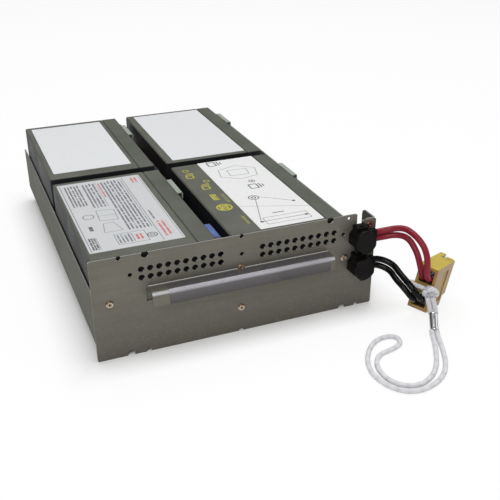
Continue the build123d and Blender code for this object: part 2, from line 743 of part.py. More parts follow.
for side, lead_x in (("left", lead_left_x), ("right", lead_right_x)):
    make_cord(
        f"jumper_{side}",
        [
            (lead_x, front_far_tab + half_sleeve, terminal_z),
            (lead_x, rear_near_tab - half_sleeve, terminal_z),
        ],
        lead_diameter,
    )
make_cord(
    "lead_black_left",
    [
        (lead_left_x, front_lead_y, terminal_z),
        (lead_left_x, front_lead_y + lead_start, terminal_z),
        (lead_left_x, front_lead_y + lead_start + lead_slope, crossing_low),
        (lead_left_x, row_middle, crossing_low),
        (channel_x, row_middle, crossing_low),
        (channel_x, bushing_back + channel_end, crossing_low - lead_turn / 5),
        (bushing_x, bushing_back + bushing_straight, low_z + lead_pitch / 2),
        (bushing_x, bushing_back, low_z + lead_pitch / 2),
    ],
    lead_diameter,
    corner_room=lead_turn,
)
make_cord(
    "lead_red_left",
    [
        (lead_left_x, rear_lead_y, terminal_z),
        (lead_left_x, rear_lead_y - lead_start, terminal_z),
        (lead_left_x, rear_lead_y - lead_start - lead_slope, crossing_high),
        (lead_left_x, row_middle, crossing_high),
        (channel_x, row_middle, crossing_high),
        (channel_x, bushing_back + channel_end, crossing_high + lead_turn / 20),
        (bushing_x, bushing_back + bushing_straight, high_z - lead_pitch / 2),
        (bushing_x, bushing_back, high_z - lead_pitch / 2),
    ],
    lead_diameter,
    corner_room=lead_turn,
)
# the front terminal's lead turns back on itself towards the lower bushing
make_cord(
    "lead_black_right",
    [
        (lead_right_x, front_lead_y, terminal_z),
        (lead_right_x, front_lead_y + 1.5 * lead_turn, terminal_z),
        (lead_right_x + 0.7 * lead_turn, front_lead_y + 3.1 * lead_turn, terminal_z - 1.14 * lead_turn),
        (bushing_x + 0.14 * lead_turn, front_lead_y + 2.1 * lead_turn, low_z + 0.76 * lead_turn),
        (bushing_x, front_lead_y - 0.3 * lead_turn, low_z - lead_pitch / 2),
        (bushing_x, bushing_back, low_z - lead_pitch / 2),
    ],
    lead_diameter,
)
make_cord(
    "lead_red_right",
    [
        (lead_right_x, rear_lead_y, terminal_z),
        (lead_right_x, rear_lead_y - lead_start, terminal_z),
        (bushing_x, rear_lead_y - lead_start - lead_slope, terminal_z - channel_lead_drop),
        (bushing_x, bushing_back + channel_end, high_z + lead_pitch / 2),
        (bushing_x, bushing_back, high_z + lead_pitch / 2),
    ],
    lead_diameter,
    corner_room=lead_turn,
)

# ---- connector ------------------------------------------------------------------------------
connector_corner = outside(connector_place)
yaw = radians(connector_yaw)
pitch = radians(connector_pitch)
along = Vector(cos(yaw) * cos(pitch), sin(yaw) * cos(pitch), -sin(pitch))
across = Vector(sin(yaw), -cos(yaw), 0).rotate(Axis((0, 0, 0), along), connector_roll)
side_plane = Plane(origin=connector_corner, x_dir=along, z_dir=across)       # (along, up)
entry_plane = Plane(origin=connector_corner, x_dir=across, z_dir=-along)     # (across, up)


def at_connector(place):
    """Point given as distances along, across and up the connector from its lower left entry corner."""
    return connector_corner + along * place[0] + across * place[1] + side_plane.y_dir * place[2]


chamber_side = (connector_thickness - chamber_width) / 2
with BuildPart() as connector_housing:
    with BuildSketch(side_plane) as housing_side:
        with BuildLine():
            Polyline(
                (0, 0),
                (connector_foot, 0),
                (connector_foot + housing_round / 2, foot_rise - housing_round),
                (connector_body, foot_rise),
                (connector_body, connector_height),
                (0, connector_height),
                close=True,
            )
        make_face()
        entry_corners = housing_side.vertices().group_by(Axis.X)[0]
        fillet(entry_corners, radius=housing_round)
    extrude(amount=connector_thickness)
    # bevel at the mating end, on the side without the hood
    far_edges = connector_housing.edges().filter_by_position(
        Axis(connector_corner, along), connector_body - 0.01, connector_body + 0.01
    )
    upright_edges = far_edges.filter_by(lambda edge: abs(edge.tangent_at(0).dot(side_plane.y_dir)) > 0.99)
    chamfer(upright_edges.sort_by(Axis(connector_corner, across))[-1], length=body_bevel)
    # hood: the longer wall that laps over the mating connector
    with BuildSketch(side_plane):
        with Locations(((connector_foot + connector_length) / 2, (foot_rise + connector_height) / 2)):
            Rectangle(connector_length - connector_foot, connector_height - foot_rise)
    extrude(amount=hood_thickness)
    # a chamber for each pole, right through
    with BuildSketch(entry_plane):
        for bottom, top in chambers:
            with Locations((connector_thickness / 2, (bottom + top) / 2)):
                RectangleRounded(chamber_width, top - bottom, chamber_round)
    extrude(amount=-connector_length, mode=Mode.SUBTRACT)
    # hole for the lanyard between the chambers
    with BuildSketch(side_plane):
        with Locations(lanyard_hole):
            Circle(lanyard_diameter / 2 + lanyard_clearance)
    extrude(amount=connector_thickness, mode=Mode.SUBTRACT)
    # keyway at the mating end
    with BuildSketch(side_plane.offset(hood_thickness)):
        with Locations((connector_length - keyway_length / 2, connector_height - keyway_depth / 2)):
            Rectangle(keyway_length, keyway_depth)
    extrude(amount=keyway_width, mode=Mode.SUBTRACT)
    # shallow panel moulded into each broad side
    for panel_plane, inward in ((side_plane, 1), (side_plane.offset(connector_thickness), -1)):
        with BuildSketch(panel_plane):
            with Locations((recess_middle, connector_height / 2)):
                RectangleRounded(*recess_size, housing_round)
        extrude(amount=inward * recess_depth, mode=Mode.SUBTRACT)
connector_housing.part.label = "connector_housing"
export_step(connector_housing.part, "parts/connector_housing.step")

contact_reach = (connector_foot - contact_end[0], connector_body - contact_end[1])
contact_plane = side_plane.offset(chamber_side + contact_clearance)
contact_width = chamber_width - 2 * contact_clearance
for pole, (bottom, top), reach in zip(("black", "red"), chambers, contact_reach):
    low = bottom + contact_clearance
    tongue = low + contact_tongue
    with BuildPart() as contact:
        with BuildSketch(contact_plane):
            with BuildLine():
                Polyline(
                    (contact_start, low),
                    (reach, low),
                    (reach, tongue),
                    (contact_start + contact_barrel, tongue),
                    (contact_start + contact_barrel, top - contact_clearance),
                    (contact_start, top - contact_clearance),
                    close=True,
                )
            make_face()
        extrude(amount=contact_width)
    contact.part.label = f"contact_{pole}"
    export_step(contact.part, f"parts/contact_{pole}.step")

    # leaf spring that presses the mating contact down
    spring_start = contact_start + contact_barrel + contact_clearance
    with BuildPart() as spring:
        with BuildSketch(side_plane.offset((connector_thickness - spring_width) / 2)):
            with BuildLine():
                FilletPolyline(
                    (spring_start, top - contact_clearance - spring_sheet / 2),
                    (spring_start + 3, top - contact_clearance - spring_sheet / 2),
                    (spring_start + 7, tongue + 2 * spring_sheet),
                    (reach - 1, top - 3 * spring_sheet),
                    radius=spring_sheet,
                )
            trace(line_width=spring_sheet)
        extrude(amount=spring_width)
    spring.part.label = f"contact_spring_{pole}"
    export_step(spring.part, f"parts/contact_spring_{pole}.step")

# ---- leads outside: from the bushings to the connector --------------------------------------
exit_x = bushing_x + bushing_exit
free_leads = {
    "lead_red_outer": (
        (exit_x, exit_middle, high_z + exit_rise + lead_pitch / 2),
        (exit_x + 7, exit_middle, high_z + exit_rise + lead_pitch / 2),
        outside((15.0, 16.3, 73.8)),
        outside((17.3, 29.6, 72.8)),
        outside((20.6, 39.5, 66.1)),
        outside((21.9, 43.9, 55.8)),
        outside((22.2, 43.7, 44.7)),
        at_connector((-2.2, 10.95, 27.2)),
        at_connector((contact_start, 10.95, 27.2)),
    ),
    "lead_red_inner": (
        (exit_x, exit_middle, high_z + exit_rise - lead_pitch / 2),
        (exit_x + 6, exit_middle, high_z + exit_rise - lead_pitch / 2),
        outside((12.0, 12.1, 66.0)),
        outside((18.0, 20.6, 66.1)),
        outside((20.3, 30.1, 57.9)),
        outside((20.8, 34.9, 50.5)),
        outside((22.1, 36.9, 42.4)),
        at_connector((-0.0, 5.35, 26.6)),
        at_connector((contact_start, 5.35, 26.6)),
    ),
    "lead_black_outer": (
        (exit_x, exit_middle, low_z + exit_rise + lead_pitch / 2),
        (exit_x + 5, exit_middle, low_z + exit_rise + lead_pitch / 2),
        outside((9.6, 14.9, 41.5)),
        outside((10.6, 25.4, 37.0)),
        outside((11.3, 35.6, 34.4)),
        outside((15.0, 43.2, 27.9)),
        at_connector((-3.5, 10.95, 9.6)),
        at_connector((contact_start, 10.95, 9.6)),
    ),
    "lead_black_inner": (
        (exit_x, exit_middle, low_z + exit_rise - lead_pitch / 2),
        (exit_x + 4, exit_middle, low_z + exit_rise - lead_pitch / 2),
        outside((7.4, 14.7, 36.2)),
        outside((6.7, 25.2, 33.2)),
        outside((8.7, 35.0, 29.6)),
        outside((13.2, 40.6, 22.3)),
        at_connector((-1.5, 5.35, 7.4)),
        at_connector((contact_start, 5.35, 7.4)),
    ),
}
for name, points in free_leads.items():
    make_cord(name, points, lead_diameter)

# ---- lanyard --------------------------------------------------------------------------------
ferrule_top = outside(ferrule_top_place)
ferrule_bottom = outside(ferrule_bottom_place)
ferrule_axis = (ferrule_top - ferrule_bottom).normalized()
beside = ferrule_axis.cross(Vector(0, 0, 1)).normalized() * (lanyard_diameter / 2 + strand_gap)
hole_along, hole_up = lanyard_hole
wrap = make_cord(
    "lanyard_wrap",
    [
        at_connector((-3.6, 13.2, 20.4)),
        at_connector((-4.4, 3.8, 20.9)),
        at_connector((-3.4, -3.8, hole_up)),
        at_connector((hole_along, -4.0, hole_up)),
        at_connector((hole_along, 20.6, hole_up)),
        at_connector((-2.2, 20.0, 20.0)),
    ],
    lanyard_diameter,
)
strands = []
for name, side in (("right", 1), ("left", -1)):
    strands.append(
        make_cord(
            f"lanyard_strand_{name}",
            [
                outside((24.4, 48.1, 25.4)) + beside * side,
                ferrule_top + ferrule_axis * 5 + beside * side,
                ferrule_top + beside * side,
            ],
            lanyard_diameter,
        )
    )

with BuildPart() as lanyard_knot:
    with Locations(Plane(origin=at_connector(knot_place), x_dir=along, z_dir=side_plane.y_dir)):
        Box(*knot_size)
    fillet(lanyard_knot.edges(), radius=knot_size[2] * 0.42)
    for cord in (wrap, *strands):
        add(cord, mode=Mode.SUBTRACT)
lanyard_knot.part.label = "lanyard_knot"
export_step(lanyard_knot.part, "parts/lanyard_knot.step")

with BuildPart() as lanyard_ferrule:
    with BuildSketch(Plane(origin=ferrule_bottom, z_dir=ferrule_axis)):
        Circle(ferrule_diameter / 2)
    extrude(amount=(ferrule_top - ferrule_bottom).length)
lanyard_ferrule.part.label = "lanyard_ferrule"
export_step(lanyard_ferrule.part, "parts/lanyard_ferrule.step")

lying = lanyard_diameter / 2 + 0.05
make_cord(
    "lanyard_loop",
    [
        ferrule_bottom + beside,
        ferrule_bottom - ferrule_axis * 2.6 + beside,
        outside((18.4, 74.3, lying)),
        outside((13.1, 86.9, lying)),
        outside((6.1, 100.5, lying)),
        outside((-3.3, 112.3, lying)),
        outside((-15.7, 119.7, lying)),
        outside((-29.5, 122.7, lying)),
        outside((-41.7, 118.5, lying)),
        outside((-49.1, 107.9, lying)),
        outside((-51.9, 94.1, lying)),
        outside((-48.5, 79.9, lying)),
        outside((-40.3, 66.7, lying)),
        outside((-28.9, 56.7, lying)),
        outside((-16.7, 53.7, lying)),
        outside((-8.9, 58.3, lying)),
        outside((-11.7, 67.5, lying)),
        outside((-22.3, 71.3, lying)),
        outside((-33.7, 72.9, lying)),
        outside((-41.9, 81.1, lying)),
        outside((-45.7, 93.1, lying)),
        outside((-43.7, 106.3, lying)),
        outside((-35.9, 114.9, lying)),
        outside((-24.1, 116.5, lying)),
        outside((-12.1, 110.7, lying)),
        outside((-1.9, 100.3, lying)),
        outside((6.3, 87.7, lying)),
        outside((13.3, 75.1, lying)),
        ferrule_bottom - ferrule_axis * 2.6 - beside,
        ferrule_bottom - beside,
    ],
    lanyard_diameter,
)
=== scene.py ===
"""Looks of a battery cartridge for a rack uninterruptible power supply.

Four sealed blocks lie in a folded steel tray behind a vented front plate. Red and black leads leave the
plate through two bushings and end in a two-pole connector, from which a braided lanyard hangs.
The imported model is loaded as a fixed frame. This file dresses its nodes, and makes the free leads, the
lanyard and the small dressings round them. Everything is in metres, in the frame of the model.
"""

import logging
import sys
from dataclasses import dataclass, field, replace
from enum import Enum
from math import cos, pi, radians, sin, sqrt
from typing import Sequence

import bmesh
import bpy
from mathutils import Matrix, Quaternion, Vector


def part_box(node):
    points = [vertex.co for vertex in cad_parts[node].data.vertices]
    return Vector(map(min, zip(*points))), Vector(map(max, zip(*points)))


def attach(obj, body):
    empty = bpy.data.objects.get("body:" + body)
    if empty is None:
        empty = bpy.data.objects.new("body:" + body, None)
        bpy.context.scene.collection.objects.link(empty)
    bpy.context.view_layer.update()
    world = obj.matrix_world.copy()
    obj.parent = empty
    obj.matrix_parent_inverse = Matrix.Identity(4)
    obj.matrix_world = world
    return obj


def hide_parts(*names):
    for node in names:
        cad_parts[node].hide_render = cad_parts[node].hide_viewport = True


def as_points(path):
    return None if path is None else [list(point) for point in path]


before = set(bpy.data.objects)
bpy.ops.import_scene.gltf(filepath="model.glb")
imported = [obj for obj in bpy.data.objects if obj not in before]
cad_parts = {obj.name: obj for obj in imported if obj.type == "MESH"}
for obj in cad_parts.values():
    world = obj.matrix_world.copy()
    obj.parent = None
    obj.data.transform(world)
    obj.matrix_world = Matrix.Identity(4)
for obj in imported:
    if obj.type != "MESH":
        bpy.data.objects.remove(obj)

Colour = tuple[float, float, float]
Point = tuple[float, float, float]
Path = Sequence[Sequence[float]]
Socket = bpy.types.NodeSocket

logging.basicConfig(level=logging.INFO, format="%(message)s", stream=sys.stdout)
log = logging.getLogger("cartridge")

MM = 0.001
PLACES = ("front_left", "front_right", "rear_left", "rear_right")
WEAVE = "weave"    # attribute that holds how high the yarn stands, 0 to 1


def shade(red: int, green: int, blue: int) -> Colour:
    """Turn a colour as seen on a screen into the linear values that shaders take.

    Args:
        red: Red, 0 to 255.
        green: Green, 0 to 255.
        blue: Blue, 0 to 255.

    Returns:
        The three linear values.
    """

    def linear(part: int) -> float:
        """Linear value of one part of the colour."""
        share = part / 255
        return share / 12.92 if share <= 0.04045 else ((share + 0.055) / 1.055) ** 2.4

    return linear(red), linear(green), linear(blue)


def tint(colour: Colour, share: float) -> Colour:
    """A colour made darker or lighter by a factor."""
    return tuple(min(1.0, part * share) for part in colour)


class NodeSheet:
    """The node tree of one material, with short calls for adding and joining its nodes."""

    def __init__(self, name: str) -> None:
        """Start a material that holds one Principled shader.

        Args:
            name: The material's name.
        """
        self.material = bpy.data.materials.new(name)
        self.material.use_nodes = True
        self.tree = self.material.node_tree
        self.shader = self.tree.nodes["Principled BSDF"]
        self.output = self.tree.nodes["Material Output"]

    def add(self, kind: str, **settings: object) -> bpy.types.Node:
        """Add a node.

        Args:
            kind: The node's type, without the ShaderNode in front.
            **settings: Properties of the node by name.

        Returns:
            The new node.
        """
        node = self.tree.nodes.new("ShaderNode" + kind)
        for name, value in settings.items():
            setattr(node, name, value)
        return node

    def plug(self, source: object, socket: Socket) -> None:
        """Feed a socket from another socket, or set it to a number.

        Args:
            source: An output socket, a number, or a sequence of numbers.
            socket: The input socket.
        """
        if isinstance(source, Socket):
            self.tree.links.new(source, socket)
        elif isinstance(source, (int, float)):
            socket.default_value = source
        else:
            values = tuple(source)
            socket.default_value = values + (1.0,) if len(socket.default_value) > len(values) else values

    def coordinates(self, which: str = "Object") -> Socket:
        """Object or UV coordinates of the piece."""
        return self.add("TexCoord").outputs[which]

    def split(self, vector: Socket) -> tuple[Socket, ...]:
        """Take a vector apart.

        Args:
            vector: The vector's socket.

        Returns:
            Its three sockets.
        """
        node = self.add("SeparateXYZ")
        self.plug(vector, node.inputs[0])
        return tuple(node.outputs)

    def position(self) -> tuple[Socket, ...]:
        """X, Y and Z in the row frame, in metres."""
        return self.split(self.coordinates())

    def facing(self) -> Socket:
        """How far a face looks up: 1 up, 0 level, -1 down."""
        return self.split(self.coordinates("Normal"))[2]

    def maths(self, operation: str, first: object, second: object = 0.0) -> Socket:
        """Work out one number from one or two others.

        Args:
            operation: The Math node's operation.
            first: Socket or number.
            second: Socket or number.

        Returns:
            The result's socket.
        """
        node = self.add("Math", operation=operation)
        self.plug(first, node.inputs[0])
        self.plug(second, node.inputs[1])
        return node.outputs[0]

    def times(self, first: object, second: object) -> Socket:
        """Product of two numbers."""
        return self.maths("MULTIPLY", first, second)

    def less(self, first: object, second: object) -> Socket:
        """The first number less the second."""
        return self.maths("SUBTRACT", first, second)

    def most(self, first: object, *others: object) -> Socket:
        """The greatest of several numbers.

        Args:
            first: Socket or number.
            *others: More of them.

        Returns:
            The result's socket.
        """
        for other in others:
            first = self.maths("MAXIMUM", first, other)
        return first

    def between(self, value: Socket, low: float, high: float) -> Socket:
        """One where a number lies between two limits, and else zero."""
        above = self.maths("GREATER_THAN", value, low)
        return self.times(above, self.maths("LESS_THAN", value, high))

    def noise(
        self, scale: float, detail: float = 3.0, rough: float = 0.5, vector: Socket | None = None
    ) -> Socket:
        """Grey noise in space.

        Args:
            scale: Cycles per metre.
            detail: Octaves.
            rough: Weight of the finer octaves.
            vector: Coordinates that it reads, or None for the piece's own.

        Returns:
            The noise's grey socket.
        """
        node = self.add("TexNoise")
        read = self.coordinates() if vector is None else vector
        for name, value in (("Vector", read), ("Scale", scale), ("Detail", detail), ("Roughness", rough)):
            self.plug(value, node.inputs[name])
        return node.outputs["Fac"]

    def streaks(self, scale: Point, detail: float = 3.0) -> Socket:
        """Grey noise drawn out along some axes.

        Args:
            scale: Cycles per metre along X, Y and Z.
            detail: Octaves.

        Returns:
            The noise's grey socket.
        """
        node = self.add("Mapping")
        self.plug(self.coordinates(), node.inputs["Vector"])
        self.plug(scale, node.inputs["Scale"])
        return self.noise(1.0, detail, vector=node.outputs[0])

    def spread(
        self, value: Socket, low: float, high: float, start: float, end: float
    ) -> Socket:
        """Map a number from one range onto another, held at the ends.

        Args:
            value: The number's socket.
            low: Start of its own range.
            high: End of its own range.
            start: Result at low.
            end: Result at high.

        Returns:
            The result's socket.
        """
        node = self.add("MapRange", clamp=True)
        self.plug(value, node.inputs["Value"])
        for name, number in (("From Min", low), ("From Max", high), ("To Min", start), ("To Max", end)):
            self.plug(number, node.inputs[name])
        return node.outputs["Result"]

    def blend(self, share: object, first: object, second: object) -> Socket:
        """Mix two colours.

        Args:
            share: How much of the second one shows, socket or number.
            first: Colour or socket.
            second: Colour or socket.

        Returns:
            The mixed colour's socket.
        """
        node = self.add("Mix", data_type="RGBA")
        self.plug(share, node.inputs[0])
        self.plug(first, node.inputs[6])
        self.plug(second, node.inputs[7])
        return node.outputs[2]

    def stamp(self, face: object, corner: Vector, marks: Sequence["Mark"]) -> Socket:
        """Print marks on a face that looks up.

        Args:
            face: Colour or socket under the print.
            corner: The face's front left corner, in metres.
            marks: What is printed, in millimetres from that corner.

        Returns:
            The printed colour's socket.
        """
        x, y, _ = self.position()
        right = self.times(self.less(x, corner[0]), 1 / MM)
        back = self.times(self.less(y, corner[1]), 1 / MM)
        up = self.maths("GREATER_THAN", self.facing(), 0.5)
        for mark in marks:
            share = self.times(mark.cover(self, right, back), mark.strength)
            face = self.blend(self.times(share, up), face, mark.ink.value)
        return face

    def relief(self, height: object, depth: float, strength: float = 1.0) -> None:
        """Give the shader a bump.

        Args:
            height: Grey socket.
            depth: Height of the relief in metres.
            strength: Share of the bump that is used.
        """
        bump = self.add("Bump")
        self.plug(height, bump.inputs["Height"])
        self.plug(depth, bump.inputs["Distance"])
        self.plug(strength, bump.inputs["Strength"])
        self.plug(bump.outputs[0], self.shader.inputs["Normal"])

    def surface(self, **values: object) -> None:
        """Set or feed the Principled shader's sockets, named with _ for a blank."""
        for name, value in values.items():
            self.plug(value, self.shader.inputs[name.replace("_", " ")])


class Ink(Enum):
    """Inks on the labels and on the case."""

    GREY = shade(84, 86, 96)
    BLACK = shade(34, 34, 38)
    RED = shade(190, 62, 60)
    YELLOW = shade(186, 180, 66)


@dataclass(frozen=True)
class Mark:
    """Something printed in one ink, in millimetres from the printed face's front left corner.

    Attributes:
        ink: Its ink.
        strength: How dense it is.
    """

    ink: Ink
    strength: float

    def cover(self, sheet: NodeSheet, x: Socket, y: Socket) -> Socket:
        """One where the ink lies, and else zero."""
        raise NotImplementedError


@dataclass(frozen=True)
class Patch(Mark):
    """A patch of solid ink.

    Attributes:
        left: Its left edge.
        front: Its front edge.
        right: Its right edge.
        back: Its back edge.
    """

    left: float
    front: float
    right: float
    back: float

    def cover(self, sheet: NodeSheet, x: Socket, y: Socket) -> Socket:
        """One inside the patch."""
        across = sheet.between(x, self.left, self.right)
        return sheet.times(across, sheet.between(y, self.front, self.back))


@dataclass(frozen=True)
class Lines(Patch):
    """Small print that can't be read: broken lines that run front to back.

    Attributes:
        pitch: Distance between two lines.
        weight: Share of the pitch that a line fills.
        word: Words in a millimetre.
    """

    pitch: float = 3.0
    weight: float = 0.5
    word: float = 0.42

    def cover(self, sheet: NodeSheet, x: Socket, y: Socket) -> Socket:
        """One on the letters of each line.

        Args:
            sheet: Node tree that the pattern goes into.
            x: Distance to the right.
            y: Distance to the back.

        Returns:
            The pattern's socket.
        """
        row = sheet.maths("DIVIDE", sheet.less(x, self.left), self.pitch)
        line = sheet.maths("LESS_THAN", sheet.maths("FRACT", row), self.weight)
        words = sheet.add("CombineXYZ")
        sheet.plug(sheet.times(y, self.word), words.inputs[0])
        sheet.plug(sheet.times(sheet.maths("FLOOR", row), 7.3), words.inputs[1])
        broken = sheet.spread(sheet.noise(1.0, 1, vector=words.outputs[0]), 0.36, 0.44, 0, 1)
        inside = super().cover(sheet, x, y)
        return sheet.times(inside, sheet.times(line, broken))


@dataclass(frozen=True)
class Stroke(Mark):
    """A straight thin line.

    Attributes:
        start: Where it starts.
        end: Where it ends.
        width: Its width.
    """

    start: tuple[float, float]
    end: tuple[float, float]
    width: float = 0.7

    def cover(self, sheet: NodeSheet, x: Socket, y: Socket) -> Socket:
        """One on the line.

        Args:
            sheet: Node tree that the pattern goes into.
            x: Distance to the right.
            y: Distance to the back.

        Returns:
            The pattern's socket.
        """
        run = Vector(self.end) - Vector(self.start)
        way = run.normalized()
        dx, dy = sheet.less(x, self.start[0]), sheet.less(y, self.start[1])
        along = sheet.maths("ADD", sheet.times(dx, way.x), sheet.times(dy, way.y))
        aside = sheet.less(sheet.times(dx, way.y), sheet.times(dy, way.x))
        near = sheet.maths("LESS_THAN", sheet.maths("ABSOLUTE", aside), self.width / 2)
        return sheet.times(sheet.between(along, 0.0, run.length), near)


@dataclass(frozen=True)
class Ring(Mark):
    """A thin circle.

    Attributes:
        middle: Its middle.
        radius: Its radius.
        width: Its line's width.
    """

    middle: tuple[float, float]
    radius: float
    width: float = 0.7

    def cover(self, sheet: NodeSheet, x: Socket, y: Socket) -> Socket:
        """One on the circle.

        Args:
            sheet: Node tree that the pattern goes into.
            x: Distance to the right.
            y: Distance to the back.

        Returns:
            The pattern's socket.
        """
        dx, dy = sheet.less(x, self.middle[0]), sheet.less(y, self.middle[1])
        square = sheet.maths("ADD", sheet.times(dx, dx), sheet.times(dy, dy))
        distance = sheet.maths("SQRT", square)
        return sheet.between(distance, self.radius - self.width / 2, self.radius + self.width / 2)


def outline(
    ink: Ink, strength: float, corners: Sequence[tuple[float, float]], width: float = 0.7
) -> list[Stroke]:
    """Strokes round a closed figure, from its corners in order."""
    ends = list(corners[1:]) + [corners[0]]
    return [Stroke(ink, strength, start, end, width) for start, end in zip(corners, ends)]


@dataclass(frozen=True)
class Finish:
    """How a surface looks.

    Attributes:
        name: Name of the finish.
    """

    name: str

    def build(self) -> bpy.types.Material:
        """Make the material.

        Returns:
            The material.
        """
        sheet = NodeSheet(self.name)
        self.paint(sheet)
        return sheet.material

    def paint(self, sheet: NodeSheet) -> None:
        """Join up the finish's nodes."""
        raise NotImplementedError


@dataclass(frozen=True)
class SheetSteel(Finish):
    """Zinc-coated steel sheet: fine mottling, a faint rolling grain, darker towards the bottom,
    with a painted highlight on its edges that look up and on its folds.

    Attributes:
        tone: Colour of the face.
        dim: Colour low on the face, which turns darker towards the bottom.
        edge_highlight: Colour of the painted highlight on its edges that look up.
        polished: Colour of the painted highlight on its folds.
        metal: How metallic it is.
        sheen: How strongly it mirrors at a slant.
        gloss: Roughness.
        low: Height at which the face has the dim colour in full.
        high: Height from which it has its own tone.
        rim: Height from which its edges that look up get the painted highlight.
    """

    tone: Colour
    dim: Colour
    edge_highlight: Colour
    polished: Colour = shade(206, 206, 210)
    metal: float = 0.45
    sheen: float = 0.5
    gloss: float = 0.42
    low: float = 0.0
    high: float = 0.06
    rim: float = 0.0

    def paint(self, sheet: NodeSheet) -> None:
        """Join up the nodes.

        Args:
            sheet: The material's node tree.
        """
        height = sheet.position()[2]
        mottle = sheet.noise(420, 4, 0.6)
        patch = sheet.noise(22, 3, 0.55)
        grain = sheet.streaks((24, 24, 1100), 2)
        face = sheet.blend(sheet.spread(height, self.low, self.high, 1, 0), self.tone, self.dim)
        paler = tint(self.tone, 1.20)
        face = sheet.blend(sheet.spread(mottle, 0.44, 0.70, 0.0, 0.30), face, paler)
        darker = tint(self.tone, 0.72)
        face = sheet.blend(sheet.spread(patch, 0.46, 0.75, 0.0, 0.45), face, darker)
        face = sheet.blend(sheet.spread(grain, 0.40, 0.66, 0.0, 0.22), face, darker)
        # painted highlights: faces that look up above the rim height, and the curved folds, turn lighter
        up = sheet.facing()
        above = sheet.maths("GREATER_THAN", height, self.rim)
        edge = sheet.times(sheet.spread(up, 0.1, 0.7, 0.0, 0.75), above)
        face = sheet.blend(edge, face, self.edge_highlight)
        fold = sheet.times(sheet.spread(up, 0.2, 0.5, 0.0, 0.9), sheet.spread(up, 0.7, 0.95, 1.0, 0.0))
        face = sheet.blend(fold, face, self.polished)
        sheet.surface(Base_Color=face, Metallic=self.metal, Specular_IOR_Level=self.sheen)
        sheet.surface(Roughness=sheet.spread(grain, 0.3, 0.7, self.gloss - 0.06, self.gloss + 0.10))
        sheet.relief(sheet.maths("ADD", mottle, sheet.times(grain, 0.5)), 0.00005, 0.30)


@dataclass(frozen=True)
class MouldedPlastic(Finish):
    """Moulded plastic with a fine spark-eroded grain and handling marks,
    and painted shade on its upright faces where a side colour is given.

    Attributes:
        tone: Colour of the faces that look up.
        gloss: Roughness.
        grain: Depth of the grain in metres.
        worn: How much paler the rubbed places are, 0 to 1.
        side: Colour of the painted shade on its upright faces, or None where they keep the tone.
        shine: How strongly it mirrors.
        corner: Front left corner of its printed face.
        marks: What is printed on it.
    """

    tone: Colour
    gloss: float = 0.5
    grain: float = 0.00004
    worn: float = 0.15
    side: Colour | None = None
    shine: float = 0.25
    corner: Point = (0, 0, 0)
    marks: tuple[Mark, ...] = ()

    def paint(self, sheet: NodeSheet) -> None:
        """Join up the nodes.

        Args:
            sheet: The material's node tree.
        """
        pits = sheet.noise(1900, 2)
        cloud = sheet.noise(38, 4, 0.6)
        speck = sheet.noise(900, 3, 0.7)
        paler = tuple(min(1.0, part * (1 + self.worn) + 0.02 * self.worn) for part in self.tone)
        darker = tint(self.tone, 1 - self.worn * 0.7)
        face = sheet.blend(sheet.spread(cloud, 0.35, 0.68, 0, 1), darker, paler)
        face = sheet.blend(sheet.spread(speck, 0.52, 0.72, 0, 0.25), face, darker)
        # painted shade: upright faces take the darker side colour
        if self.side:
            face = sheet.blend(sheet.spread(sheet.facing(), 0.25, 0.8, 1, 0), face, self.side)
        if self.marks:
            face = sheet.stamp(face, self.corner, self.marks)
        sheet.surface(Base_Color=face, Specular_IOR_Level=self.shine)
        sheet.surface(Roughness=sheet.spread(cloud, 0.35, 0.7, self.gloss - 0.06, self.gloss + 0.08))
        sheet.relief(pits, self.grain, 0.5)


@dataclass(frozen=True)
class Sleeve(Finish):
    """Soft plastic sleeve over a terminal: coloured on top, with painted shade low down,
    at its front end and in its creases.

    Attributes:
        tone: Its colour.
        shadow: Colour of the painted shade low down, at its front end and in its creases.
        front: Where its front end is fully in shadow, and where it is clear.
        foot: The same, from below.
    """

    tone: Colour
    shadow: Colour
    front: tuple[float, float] = (-0.1525, -0.1495)
    foot: tuple[float, float] = (0.076, 0.079)

    def paint(self, sheet: NodeSheet) -> None:
        """Join up the nodes.

        Args:
            sheet: The material's node tree.
        """
        _, y, z = sheet.position()
        creases = sheet.streaks((500, 120, 500))
        # painted shade: creases, the lower part and the front end darken towards the shadow colour
        end = sheet.most(sheet.spread(y, *self.front, 1, 0), sheet.spread(z, *self.foot, 1, 0))
        face = sheet.blend(sheet.spread(creases, 0.4, 0.7, 0, 0.35), self.tone, self.shadow)
        sheet.surface(Base_Color=sheet.blend(end, face, self.shadow), Roughness=0.36)
        sheet.relief(creases, 0.0002, 0.5)


@dataclass(frozen=True)
class Insulation(Finish):
    """Smooth plastic insulation of a lead, a little uneven where the strands press on it.

    Attributes:
        tone: Colour.
        gloss: Roughness.
        shine: How strongly it mirrors.
    """

    tone: Colour
    gloss: float = 0.3
    shine: float = 0.25

    def paint(self, sheet: NodeSheet) -> None:
        """Join up the nodes.

        Args:
            sheet: The material's node tree.
        """
        strands = sheet.noise(320, 2)
        cloud = sheet.noise(90)
        darker = tint(self.tone, 0.85)
        sheet.surface(Base_Color=sheet.blend(cloud, self.tone, darker), Specular_IOR_Level=self.shine)
        sheet.surface(Roughness=sheet.spread(cloud, 0.3, 0.7, self.gloss - 0.05, self.gloss + 0.10))
        sheet.relief(strands, 0.00004, 0.12)


